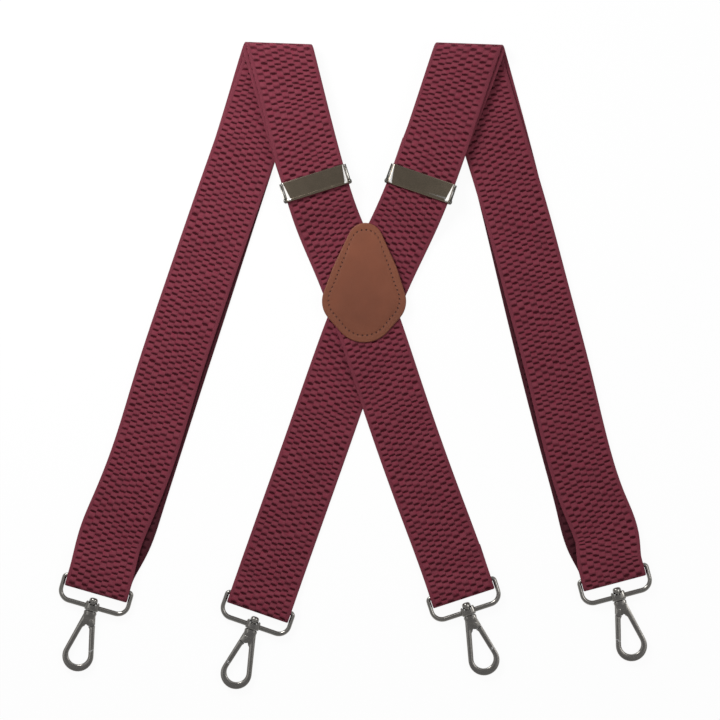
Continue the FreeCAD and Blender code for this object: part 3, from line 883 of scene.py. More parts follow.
@dataclass(frozen=True)
class MetalFinish:
    """Plated metal. A sharp edge shows the bright colour, as worn plating and, on the lever, as a
    painted highlight; hollows and gaps beside other parts take the dark colour as painted shade.
    """

    name: str
    plate: Colour
    shade: Colour
    bright: Colour
    roughness: float
    cloudy: float = 1.0
    edge_wear_and_glint: float = 0.7
    relief: float = 0.00001
    painted_shade: Colour = (24, 22, 20)

    def build(self, effects: Effects) -> bpy.types.Material:
        """Builds the material on Object coordinates.

        Args:
            effects: the shared surface effects.

        Returns:
            The material.
        """
        material, g, shader = blank_material(self.name)
        wear_and_shade = g.effect(effects.wear_and_shade, g.place())
        colour = g.mix(wear_and_shade["Cloud"].remap(0.25, 0.75), self.shade, self.plate)
        colour = g.mix(wear_and_shade["Scratch"] * (0.25 * self.cloudy), colour, self.bright)
        # sharp edges take the bright colour: worn plating, and a painted highlight where the share
        # is high, as on the lever
        colour = g.mix(wear_and_shade["Edge"] * self.edge_wear_and_glint, colour, self.bright)
        rough = wear_and_shade["Cloud"] * (0.16 * self.cloudy) + (self.roughness - 0.08 * self.cloudy)
        rough = rough + wear_and_shade["Scratch"] * (0.12 * self.cloudy) - wear_and_shade["Edge"] * 0.08
        g.fill(shader, {
            # painted shade: hollows and gaps beside other parts darkened to near black by ambient
            # occlusion
            "Base Color": g.mix(wear_and_shade["Occlusion shade"] * 0.95, colour, self.painted_shade),
            "Metallic": 1.0,
            "Roughness": rough,
            "Normal": g.bump(wear_and_shade["Height"], 0.5, self.relief),
        })
        return material


WEBBING = WebbingFinish()
LEATHER = LeatherFinish()
THREAD = ThreadFinish()
CLIP_METAL = MetalFinish(
    "dark nickel", (140, 137, 132), (132, 129, 124), (214, 213, 209), 0.2, cloudy=0.15, edge_wear_and_glint=0.12
)
# the lever's high edge share paints highlights along its sharp edges
LEVER_METAL = MetalFinish(
    "pressed nickel", (129, 117, 101), (124, 113, 97), (226, 222, 216), 0.19, cloudy=0.2, edge_wear_and_glint=0.8
)
FRAME_METAL = MetalFinish(
    "dull nickel", (104, 102, 96), (94, 92, 87), (200, 198, 192), 0.3, cloudy=0.2, edge_wear_and_glint=0.1
)
# painted highlight: a near-white copy of the lever's metal for its side facets, which catch the
# light
FACET_HIGHLIGHT_METAL = MetalFinish(
    "facet painted highlight", (244, 242, 238), (240, 238, 234), (250, 248, 244), 0.14, cloudy=0.2
)
SPRING_STEEL = MetalFinish(
    "spring steel", (150, 150, 150), (120, 120, 122), (210, 210, 212), 0.28, relief=0.00004
)
METALS = (CLIP_METAL, LEVER_METAL, FRAME_METAL, FACET_HIGHLIGHT_METAL, SPRING_STEEL)
Materials = dict[object, bpy.types.Material]


# ---------------------------------------------------------------- where the fittings stand


class Layout:
    """Frames of the fittings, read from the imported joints, in millimetres."""

    def __init__(self, frame: dict[str, object]) -> None:
        """Keeps the joints by name."""
        self.joints = {joint["name"]: joint for joint in frame["joints"]}

    def _read(self, name: str) -> tuple[Vector, Vector]:
        """A joint's place and axis."""
        joint = self.joints[name]
        return Vector(joint["pos_m"]) / MM, Vector(joint["axis"]).normalized()

    @staticmethod
    def _frame(origin: Vector, x: Vector, y: Vector) -> Matrix:
        """A placement from its origin and directions.

        Args:
            origin: where it stands.
            x: its x direction.
            y: its y direction.

        Returns:
            The placement.
        """
        matrix = Matrix((x, y, x.cross(y))).transposed().to_4x4()
        matrix.translation = origin
        return matrix

    def clip(self, side: Side, end: End) -> Matrix:
        """The frame of a clip: x along the ring's top bar, y up the clip, z out of its face.

        Args:
            side: which webbing.
            end: which of its ends.

        Returns:
            The placement.
        """
        origin, x = self._read(f"{side.value}_{end.value}_ring_swing")
        return self._frame(origin, x, self._read(f"{side.value}_{end.value}_hook_swivel")[1])

    def adjuster(self, side: Side, hinge: Pair) -> Matrix:
        """The frame of an adjuster, on the surface under the middle of its slider.

        Args:
            side: which webbing.
            hinge: y and z of the hinge line in the frame.

        Returns:
            The placement.
        """
        origin, x = self._read(f"{side.value}_lever_hinge")
        y = UP.cross(x)
        return self._frame(origin - y * hinge[0] - UP * hinge[1], x, y)


# ---------------------------------------------------------------- webbing


@dataclass(frozen=True)
class Route:
    """Where one webbing lies in plan, before the model's shift. Mirrored for the right side."""

    fold: Pair
    run_lean: float
    adjuster: Pair
    back: tuple[Pair, ...]
    back_ring: Triple
    front: tuple[Pair, ...]
    front_under: tuple[Pair, ...]
    front_lean: float
    front_ring: Triple
    crossing: tuple[Pair, ...]


@dataclass
class Webbing:
    """One 50 mm elastic webbing: its sizes, plies and finish."""

    side: Side
    route: Route
    width: float = 50.0
    thick: float = 1.8
    edge: float = 0.8
    marks: tuple[float, ...] = (-24.2, -22.4, -19, -15, -10, -5, 0, 5, 10, 15, 19, 22.4, 24.2)
    ply_gap: float = 0.1
    free_gap: float = 0.3
    pitch: float = 4.0
    turn_steps: int = 14
    turn_in: float = 70.0
    loop_gap: float = 0.35
    loop_slack: float = 4.6
    loop_straight: float = 5.0
    front_straight: float = 9.0
    front_settled: float = 42.0
    sewn_end: float = 28.0
    past_sewn_end: Triple = (-12.0, 1.0, 16.0)
    tail_sewn: float = 19.0
    crossbar_y: Pair = (3.2, 7.2)
    crossbar_thick: float = 1.1
    crossbar_gap: float = 0.05
    adjuster_half: float = 8.5

    def __post_init__(self) -> None:
        """Works out the levels that the plies share."""
        self.low = self.thick / 2
        self.second = self.low + self.thick + self.ply_gap
        self.sewn_level = self.second + self.thick + self.free_gap
        sewn_top = self.sewn_level + self.thick / 2
        self.crossbar_z = sewn_top + self.crossbar_gap + self.crossbar_thick / 2
        self.tail_level = 2 * self.crossbar_z - self.sewn_level
        self.run_level = self.tail_level + self.thick + self.ply_gap
        self.bar_z = self.thick + self.loop_gap + WIRE / 2
        self.loop_radius = WIRE / 2 + self.loop_gap + self.thick / 2
        r = self.route
        self.run_way = heading(r.run_lean)
        self.skew = (r.front_lean - r.run_lean) / 2
        self.ahead = heading((r.front_lean + r.run_lean) / 2)
        crease = Vector((self.ahead.y, -self.ahead.x, 0))
        self.crease_half = crease * (self.width / 2 / math.cos(math.radians(self.skew)))
        reach = (self.run_level - self.low) / 2 + self.thick / 2
        self.pivot = flat(r.fold) - self.ahead * reach + UP * (self.low + self.run_level) / 2
        self.flip = Matrix.Diagonal((-1 if self.side is Side.RIGHT else 1, 1, 1, 1))

    def _leg(
        self,
        line: PlanLine,
        levels: list[Pair],
        facing: int,
        first_across: Vector | None = None,
        last_across: Vector | None = None,
    ) -> list[Station]:
        """Stations along a leg.

        Args:
            line: the leg's plan line.
            levels: pairs of distance along it and height of the ply's middle.
            facing: 1 where the good side is up, -1 where it is down.
            first_across: half-width vector at the start, where that isn't square to the line.
            last_across: half-width vector at the end, likewise.

        Returns:
            The stations: middle, half-width vector and good-side normal.
        """
        count = max(2, math.ceil(line.length / self.pitch))
        blend = min(self.turn_in, line.length / 2)
        stations = []
        for k in range(count + 1):
            d = line.length * k / count
            place, way = line.at(d)
            square = way.cross(UP) * facing
            turn = 0.0
            for across, away in ((first_across, d), (last_across, line.length - d)):
                if across is not None and away < blend:
                    whole = math.atan2(square.cross(across).z, square.dot(across))
                    turn += whole * (1 - away / blend)
            half = Matrix.Rotation(turn, 3, "Z") @ square * (self.width / 2 / math.cos(turn))
            rise = eased(levels, d + 0.5) - eased(levels, d - 0.5)
            good = half.cross(way + UP * rise).normalized()
            good = good if good.z * facing > 0 else -good
            stations.append((flat(place) + UP * eased(levels, d), half, good))
        return stations

    def _half_turn(
        self,
        pivot: Vector,
        ahead: Vector,
        half: Vector,
        radius: float,
        start: float,
        outward: int,
        skew: float = 0.0,
    ) -> list[Station]:
        """Stations of a half turn.

        Args:
            pivot: middle of the turn.
            ahead: horizontal direction in which the turn bulges.
            half: half-width vector.
            radius: of the ply's middle.
            start: 90 to start on top, -90 to start below.
            outward: 1 where the good side is outside.
            skew: degrees between the webbing and the square of the crease.

        Returns:
            The stations.
        """
        along = half.normalized() * (1 if half.dot(UP.cross(ahead)) > 0 else -1)
        stations = []
        for k in range(self.turn_steps + 1):
            angle = math.radians(start) * (1 - 2 * k / self.turn_steps)
            out = ahead * math.cos(angle) + UP * math.sin(angle)
            slide = math.tan(math.radians(skew)) * radius * math.pi * (k / self.turn_steps - 0.5)
            stations.append((pivot + out * radius + along * slide, half, out * outward))
        return stations

    def _fold(self, level: float, other: float, start: float, outward: int) -> list[Station]:
        """The half turn at the shoulder between the plies at two levels."""
        turn = (self.pivot, self.ahead, self.crease_half, (level - other) / 2)
        return self._half_turn(*turn, start, outward, self.skew)

    def _ring_turn(self, bar: Vector, way: Vector) -> list[Station]:
        """The half turn round a ring's top bar, from below.

        Args:
            bar: the bar's place in plan.
            way: the direction up the webbing.

        Returns:
            Its stations.
        """
        half = Vector((way.y, -way.x, 0)) * (self.width / 2)
        pivot = bar - way * self.loop_slack + UP * self.bar_z
        return self._half_turn(pivot, -way, half, self.loop_radius, -90, 1)

    def main_stations(self) -> tuple[list[Station], Station]:
        """The main piece, from its sewn end at the back ring to the inside of the shoulder fold.

        Returns:
            Its stations, and the last one, where the tail goes on.
        """
        r = self.route
        loop_top = self.bar_z + self.loop_radius
        ground = [(0, self.low), (1, self.low)]
        bar, way = flat(r.back_ring), heading(r.back_ring[2])
        loop_end = bar - way * self.loop_slack
        line = PlanLine([bar + way * self.sewn_end, loop_end], -way, -way)
        stations = self._leg(line, ground, -1) + self._ring_turn(bar, way)
        over = self._fold(self.run_level, self.low, 90, 1)
        points = [loop_end, bar + way * self.loop_straight, *map(flat, reversed(r.back))]
        line = PlanLine([*points, flat(r.adjuster), flat(over[0][0])], way, self.run_way)
        sewn = line.distance_at(bar.y) + self.sewn_end
        levels = [(0, loop_top), (sewn - self.sewn_end + self.loop_straight, loop_top)]
        closed, steps_off, down_by = (sewn + past for past in self.past_sewn_end)
        levels += [(closed, self.second), (steps_off, self.second), (down_by, self.low)]
        levels += [(line.distance_at(y), z) for y, z in r.crossing]
        level_from = r.adjuster[1] - self.adjuster_half
        levels += [(line.distance_at(y), self.run_level) for y in (level_from, self.pivot.y)]
        stations += self._leg(line, levels, 1, last_across=self.crease_half) + over

        bar, way = flat(r.front_ring), heading(r.front_ring[2])
        loop_end, bend = bar - way * self.loop_slack, bar + way * self.front_straight
        down = -heading(r.front_lean)
        line = PlanLine([flat(over[-1][0]), *map(flat, r.front_under), bend, loop_end], down, -way)
        stations += self._leg(line, ground, -1, first_across=self.crease_half)
        stations += self._ring_turn(bar, way)
        inner = self._fold(self.tail_level, self.second, -90, -1)
        points = [loop_end, bend, *map(flat, reversed(r.front)), flat(inner[0][0])]
        line = PlanLine(points, way, -down)
        levels = [(0, loop_top), (self.loop_slack + self.loop_straight, loop_top)]
        levels += [(self.front_settled, self.second), (self.front_settled + 1, self.second)]
        stations += self._leg(line, levels, 1, last_across=self.crease_half)
        return stations + inner, inner[-1]

    def tail_stations(self, start: Station, adjuster: Matrix) -> list[Station]:
        """The tail, from inside the fold, under the run and round the slider's crossbar.

        Args:
            start: the main piece's last station.
            adjuster: the adjuster's frame, in the webbing's own coordinates.

        Returns:
            The tail's stations.
        """
        toward = (adjuster.to_3x3() @ Vector((0, 1, 0))).normalized()
        half = (adjuster.to_3x3() @ Vector((1, 0, 0))).normalized() * (self.width / 2)
        near, far = self.crossbar_y
        pivot = adjuster @ Vector((0, near + self.crossbar_thick / 2, self.crossbar_z))
        edge = adjuster @ Vector((0, far + 4, 0))
        line = PlanLine([flat(start[0]), edge, flat(pivot)], -self.run_way, -toward)
        levels = [(0, self.tail_level), (1, self.tail_level)]
        stations = self._leg(line, levels, -1, first_across=start[1])
        radius = (self.tail_level - self.sewn_level) / 2
        stations += self._half_turn(pivot, -toward, half, radius, 90, -1)
        line = PlanLine([flat(pivot), edge, edge + toward * self.tail_sewn], toward, self.run_way)
        under = self.tail_level - self.thick - self.ply_gap
        levels = [(0, self.sewn_level), (far + 1 - near, self.sewn_level), (13, under), (14, under)]
        return stations + self._leg(line, levels, 1)

    def _profile(self) -> list[Triple]:
        """The ply's section.

        Returns:
            Share of the half width, height from the middle and map coordinate, point by point.
        """
        half, rise = self.width / 2, self.thick / 2
        points = []
        for facing, start in ((1, 0.0), (-1, self.width + self.thick)):
            points += [(a * facing / half, facing * rise, start + half + a) for a in self.marks]
            for angle in (45, 0, -45):
                out = (half - self.edge + self.edge * math.cos(math.radians(angle))) / half
                height = facing * rise * math.sin(math.radians(angle))
                points.append((out * facing, height, start + self.width + rise - angle / 90))
        return points

    def strip(self, stations: list[Station], shift: Vector) -> Mesh:
        """A ply as a closed strip.

        Args:
            stations: its stations, in the webbing's own coordinates.
            shift: the model's shift.

        Returns:
            The mesh, with a map in metres across and along.
        """
        kept = [stations[0]]
        for station in stations[1:]:
            if (station[0] - kept[-1][0]).length > 0.05:
                kept.append(station)
        profile = self._profile()
        sections = []
        for middle, half, good in kept:
            ring = [middle + half * a + good * h for a, h, _ in profile]
            sections.append([self.flip @ point + shift for point in ring])
        around = [u * MM for _, _, u in profile] + [2 * (self.width + self.thick) * MM]
        return loft(sections, around, [d * MM for d in measured([station[0] for station in kept])])

    def build(self, shift: Vector, adjuster: Matrix, materials: Materials) -> None:
        """Makes the main piece, which rides on the harness, and the tail.

        Args:
            shift: the model's shift in millimetres.
            adjuster: the adjuster's frame in the model.
            materials: the finishes.
        """
        name = self.side.value
        stations, last = self.main_stations()
        main = piece(self.strip(stations, shift), f"{name}_elastic", materials[WEBBING])
        stand_for(main, "harness", f"{name}_webbing")
        own = self.flip @ Matrix.Translation(-shift) @ adjuster @ self.flip
        stations = self.tail_stations(last, own)
        tail = piece(self.strip(stations, shift), f"{name}_elastic_tail", materials[WEBBING])
        start = flat(self.flip @ last[0]) + shift
        end = adjuster @ Vector((0, self.crossbar_y[1] + 6, 0))
        end * MM
        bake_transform(tail)
        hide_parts(f"{name}_webbing_tail")


# ---------------------------------------------------------------- leather patch


@dataclass
class Patch:
    """The sewn leather cross patch and its backing."""

    centre: Pair = (6.7, 64.6)
    discs: tuple[Triple, ...] = (
        (0.9, 32.0, 13.8),
        (-15.0, 7.5, 10.0),
        (-12.9, -15.1, 19.8),
        (0, -22.7, 24.4),
        (12.9, -15.1, 19.8),
        (15.9, 7.9, 10.0),
    )
    leather: float = 1.5
    edge_round: float = 0.5
    face_insets: tuple[float, ...] = (
        0.0, 0.15, 0.5, 1.2, 2.2, 3.4, 4.4, 4.9, 5.4, 5.9, 6.4, 7.4, 9, 11, 14, 18, 23
    )
    under_insets: tuple[float, ...] = (23.0, 12.0, 0.6, 0.0)
    seam_inset: float = 5.4
    seam_width: float = 1.1
    seam_depth: float = 0.1
    stitch: float = 4.2
    thread: Pair = (0.26, 0.14)
    thread_sunk: Pair = (0.18, 0.16)

    def _half(self, outline: list[Vector], face_z: float, up: int) -> Mesh:
        """One leather, as rings that close in from the cut edge, soft at the edge and flat behind.

        Args:
            outline: the cut edge.
            face_z: height of the outer face.
            up: 1 for the top leather, -1 for the backing.

        Returns:
            The mesh, mapped along the edge and in from it.
        """
        centre = sum(outline, Vector()) / len(outline)
        back = face_z - up * self.leather
        rings = [(inset, back, -inset) for inset in self.under_insets]
        rings.append((0.0, face_z - up * self.leather / 2, 0.0))
        for inset in self.face_insets:
            soft = self.edge_round * (1 - min(inset / self.edge_round, 1.0)) ** 2
            rings.append((inset, face_z - up * soft, inset))
        sections = []
        for inset, z, _ in rings:
            seam = self.seam_depth * math.exp(-(((inset - self.seam_inset) / self.seam_width) ** 2))
            height = UP * (z - up * (seam if inset < 12 else 0.0))
            shares = [min(inset / (point - centre).length, 0.92) for point in outline]
            sections.append([p.lerp(centre, share) + height for p, share in zip(outline, shares)])
        reach = measured(outline + outline[:1])
        stretch = round(reach[-1] / self.stitch) * self.stitch / reach[-1] * MM
        return loft(sections, [d * stretch for d in reach], [mark * MM for _, _, mark in rings])

    def _stitches(self, outline: list[Vector], z: float) -> Mesh:
        """Thread stitches that lie in the sewn line, each between two needle holes.

        Args:
            outline: the cut edge.
            z: height of the stitches' middles.

        Returns:
            The mesh.
        """
        centre = sum(outline, Vector()) / len(outline)
        outline = outline + outline[:1]
        reach = measured(outline)
        count = round(reach[-1] / self.stitch)
        bm = bmesh.new()
        for k in range(count):
            ends = []
            for share in (k + 0.7, k + 1.3):
                want = reach[-1] * (share / count % 1.0)
                i = max(j for j, r in enumerate(reach[:-1]) if r <= want)
                t = (want - reach[i]) / (reach[i + 1] - reach[i])
                edge = outline[i].lerp(outline[i + 1], t)
                ends.append(edge - (edge - centre) * (self.seam_inset / (edge - centre).length))
            way = ends[1] - ends[0]
            side = way.cross(UP).normalized()
            made = bmesh.ops.create_icosphere(bm, subdivisions=2, radius=1.0)["verts"]
            axes = (way / 2, side * self.thread[0], UP * self.thread[1])
            basis = Matrix(axes).transposed().to_4x4()
            basis.translation = ends[0].lerp(ends[1], 0.5) + UP * z
            bmesh.ops.transform(bm, matrix=basis, verts=made)
        return bm

    def build(self, shift: Vector, materials: Materials) -> None:
        """Makes both leathers and the sewing.

        Args:
            shift: the model's shift in millimetres.
            materials: the finishes.
        """
        outline = [p + flat(self.centre) + shift for p in hugging(self.discs, 14, 10)]
        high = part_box("patch_leather")[1].z / MM
        over, under = self.thread_sunk
        parts = (
            ("cross_patch", "patch_leather", high, 1, high - over),
            ("cross_patch_backing", "patch_backing", 0.0, -1, under),
        )
        for name, node, face_z, up, _ in parts:
            made = piece(self._half(outline, face_z, up), name, materials[LEATHER], sharp=50)
            stand_for(made, "harness", node)
        for name, *_, thread_z in parts:
            made = piece(self._stitches(outline, thread_z), f"{name}_stitches", materials[THREAD])
            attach(made, "harness")


# ---------------------------------------------------------------- clip


@dataclass
class Clip:
    """One swivel snap hook on its webbing ring, measured from the ring's top bar down the clip."""

    side: Side
    end: End
    ring_width: float = 57.4
    ring_height: float = 22.5
    low_bar: float = 3.9
    ring_radii: Pair = (4.0, 10.0)
    collar_low: float = -21.9
    collar: tuple[Triple, ...] = (
        (-14.9, 4.6, 2.7),
        (-15.4, 5.3, 3.1),
        (-17.9, 5.8, 3.1),
        (-20.3, 5.7, 3.1),
        (-21.3, 5.5, 3.05),
        (-21.9, 4.9, 2.6),
    )
    cup: tuple[Pair, ...] = (
        (0, -17.7),
        (3.0, -17.65),
        (3.9, -17.2),
        (4.6, -15.7),
        (4.9, -13.7),
        (0, -13.7),
    )
    bore: float = 2.08
    head: tuple[Pair, ...] = (
        (0, -11.6),
        (1.19, -11.64),
        (2.108, -11.84),
        (2.788, -12.28),
        (3.196, -12.9),
        (3.4, -13.8),
        (3.4, -15.0),
        (3.298, -15.9),
        (2.992, -16.5),
    )
    shank_radius: float = 2.0
    shank_end: float = -26.2
    neck: tuple[Triple, ...] = (
        (-22.2, 4.0, 2.5),
        (-22.55, 4.7, 2.85),
        (-23.4, 5.1, 2.9),
        (-24.8, 4.9, 2.9),
        (-27.2, 4.8, 2.75),
        (-28.8, 4.5, 2.3),
        (-30.4, 4.0, 1.9),
    )
    half_thick: float = 2.2
    outer: tuple[Triple, ...] = ((0, -27.3, 5.1), (0, -58.5, 12.1))
    window: tuple[Triple, ...] = ((0, -37.3, 3.0), (0, -57.4, 7.8))
    bevels: Pair = (0.75, 1.15)
    pivot: Pair = (2.2, -29.1)
    pin_radius: float = 0.75
    pin_head: tuple[Pair, ...] = ((0, 0.32), (0.7, 0.3), (1.2, 0.18), (1.4, 0.02), (0.75, -0.02))
    gate_radii: Triple = (5.0, 23.0, 24.2)
    gate_step: float = -74.0
    gate_span: Pair = (-96.0, -20.0)
    swept_span: Pair = (-126.0, -95.0)
    slot_span: Pair = (-122.0, -34.0)
    tongue_span: Pair = (-84.0, -46.0)
    eye: Pair = (1.9, 1.2)
    slot: Pair = (2.2, 1.45)
    gap: float = 0.3

    def ring(self) -> Mesh:
        """The bent wire loop with its swivel collar.

        Returns:
            The mesh.
        """
        outlines = []
        for depth, low_depth in ((0.0, 0.0), (WIRE, self.low_bar)):
            x, top = self.ring_width / 2 - depth, WIRE / 2 - depth
            low = WIRE / 2 - self.ring_height + low_depth
            top_r, low_r = self.ring_radii[0] - depth, self.ring_radii[1] - (depth + low_depth) / 2
            discs = ((x - top_r, top - top_r, top_r), (-x + top_r, top - top_r, top_r))
            discs += ((-x + low_r, low + low_r, low_r), (x - low_r, low + low_r, low_r))
            outlines.append(hugging(discs, 12, 12))
        sections = []
        for outer, inner in zip(*outlines):
            middle, half = (outer + inner) / 2, (outer - inner) / 2
            spokes = [half * math.cos(t) + UP * (WIRE / 2 * math.sin(t)) for t in turns(20)]
            sections.append([middle + spoke for spoke in spokes])
        collar = loft([self._rounded(*row) for row in self.collar])
        bm = carved(loft(sections, closed=True), collar, operation="UNION")
        floor = self.cup[0][1]
        return carved(bm, spun(list(self.cup)), rod(self.bore, floor + 2, self.collar_low - 1))

    @staticmethod
    def _rounded(y: float, half_width: float, half_thick: float) -> list[Vector]:
        """A squarish rounded section across y.

        Args:
            y: where the section lies.
            half_width: along x.
            half_thick: along z.

        Returns:
            The section.
        """
        squareness = 0.62
        points = []
        for direction in map(ray, turns(28)):
            x, z, _ = (math.copysign(abs(share) ** squareness, share) for share in direction)
            points.append(Vector((x * half_width, y, z * half_thick)))
        return points

    def rivet(self) -> Mesh:
        """The domed rivet that the hook turns on.

        Returns:
            The mesh.
        """
        r, under, end = self.shank_radius, self.head[-1][1] - 0.02, self.shank_end
        return spun([*self.head, (r, under), (r, end + 0.1), (r - 0.4, end), (0, end)])

    def _teardrop(self) -> Mesh:
        """The whole teardrop with rounded edges, before the gate is cut from it.

        Returns:
            The mesh.
        """
        sections = []
        (outside, inside), thick = self.bevels, self.half_thick
        for far, near in zip(hugging(self.outer, 22, 16), hugging(self.window, 22, 16)):
            width = (near - far).length
            way = (near - far).normalized()
            section = []
            for s, h, radius, start in (
                (width - inside, thick - inside, inside, 0),
                (outside, thick - outside, outside, 90),
                (outside, outside - thick, outside, 180),
                (width - inside, inside - thick, inside, 270),
            ):
                for angle in (math.radians(start + 30 * k) for k in range(4)):
                    height = UP * (h + radius * math.sin(angle))
                    section.append(far + way * (s + radius * math.cos(angle)) + height)
            sections.append(section)
        return loft(sections, closed=True)

    def _sector(
        self, inner: float, outer: float, start: float, stop: float, half_thick: float
    ) -> Mesh:
        """A slice of a ring about the gate's pin, as a closed solid.

        Args:
            inner: inner radius, or 0.
            outer: outer radius.
            start: first angle in degrees.
            stop: last angle.
            half_thick: half the thickness.

        Returns:
            The mesh.
        """
        steps = max(3, math.ceil(abs(stop - start) / 4))
        angles = [math.radians(start + (stop - start) * k / steps) for k in range(steps + 1)]
        base = Vector((*self.pivot, -half_thick))
        outline = [base + ray(angle) * outer for angle in angles]
        outline += [base + ray(angle) * inner for angle in reversed(angles)] if inner else [base]
        bm = bmesh.new()
        prism(bm, outline, UP * (2 * half_thick))
        return bm

    def _gate_region(self, growth: float) -> Mesh:
        """The stepped slice that the gate fills.

        Args:
            growth: how much larger it is all round.

        Returns:
            The mesh.
        """
        root, tip, lip = self.gate_radii
        (start, stop), thick = self.gate_span, self.half_thick + 1
        step = self.gate_step + math.degrees(growth / tip)
        whole = self._sector(root - growth, tip + growth, start, stop, thick)
        nose = self._sector(root - growth, lip + growth, start, step, thick + 0.5)
        return carved(whole, nose, operation="UNION")

    def _round(self, radius: float, half_thick: float) -> Mesh:
        """A closed cylinder about the gate's pin.

        Args:
            radius: its radius.
            half_thick: half of its length.

        Returns:
            The mesh.
        """
        bm = bmesh.new()
        size = {"segments": 32, "radius1": radius, "radius2": radius, "depth": 2 * half_thick}
        bmesh.ops.create_cone(bm, cap_ends=True, **size)
        bmesh.ops.translate(bm, verts=bm.verts[:], vec=flat(self.pivot))
        return bm

    def hook(self) -> Mesh:
        """The cast hook: neck, teardrop and nose, cut for the gate and its pin.

        Returns:
            The mesh.
        """
        neck = loft([self._rounded(*row) for row in self.neck])
        root, top = self.gate_radii[0], self.neck[0][0]
        return carved(
            carved(self._teardrop(), neck, operation="UNION"),
            self._gate_region(self.gap),
            self._sector(root - self.gap, root + 1.4, *self.swept_span, self.half_thick + 1),
            self._sector(0, root + self.gap, *self.slot_span, self.slot[1]),
            self._round(*self.slot),
            self._round(self.pin_radius, 6),
            rod(self.shank_radius, top + 2, top - 4),
        )

    def gate(self) -> Mesh:
        """The sprung side of the teardrop with its tongue and eye.

        Returns:
            The mesh.
        """
        bar = carved(self._teardrop(), self._gate_region(0.0), operation="INTERSECT")
        tongue = self._sector(0, self.gate_radii[0] + 0.8, *self.tongue_span, self.eye[1])
        bar = carved(bar, tongue, self._round(*self.eye), operation="UNION")
        return carved(bar, self._round(self.pin_radius + 0.06, 6))

    def pin(self) -> Mesh:
        """The gate's rivet with a low head on each cheek."""
        place = Matrix.Translation(flat(self.pivot)) @ Matrix.Rotation(math.pi / 2, 4, "X")
        return headed_pin(self.pin_head, self.half_thick, 24, place)

    def build(
        self, layout: Layout, materials: Materials, nodes: dict[str, bpy.types.Object]
    ) -> None:
        """Makes the clip's pieces on their bodies.

        Args:
            layout: where the fittings stand.
            materials: the finishes.
            nodes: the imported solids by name.
        """
        name = f"{self.side.value}_{self.end.value}"
        place = layout.clip(self.side, self.end)
        hooked = place @ Matrix.Rotation(math.pi, 4, "Y") if self.side is Side.RIGHT else place
        parts = (
            ("ring", self.ring(), place, "ring"),
            ("swivel_rivet", self.rivet(), place, "hook"),
            ("hook", self.hook(), hooked, "hook"),
            ("gate", self.gate(), hooked, "gate"),
            ("gate_pin", self.pin(), hooked, "hook"),
        )
        for node, bm, where, body in parts:
            made = piece(bm, f"{name}_{node}_cast", materials[CLIP_METAL], where)
            stand_for(made, f"{name}_{body}", f"{name}_{node}")
        spring = nodes[f"{name}_gate_spring"].data
        spring.materials.clear()
        spring.materials.append(materials[SPRING_STEEL])


# ---------------------------------------------------------------- adjuster


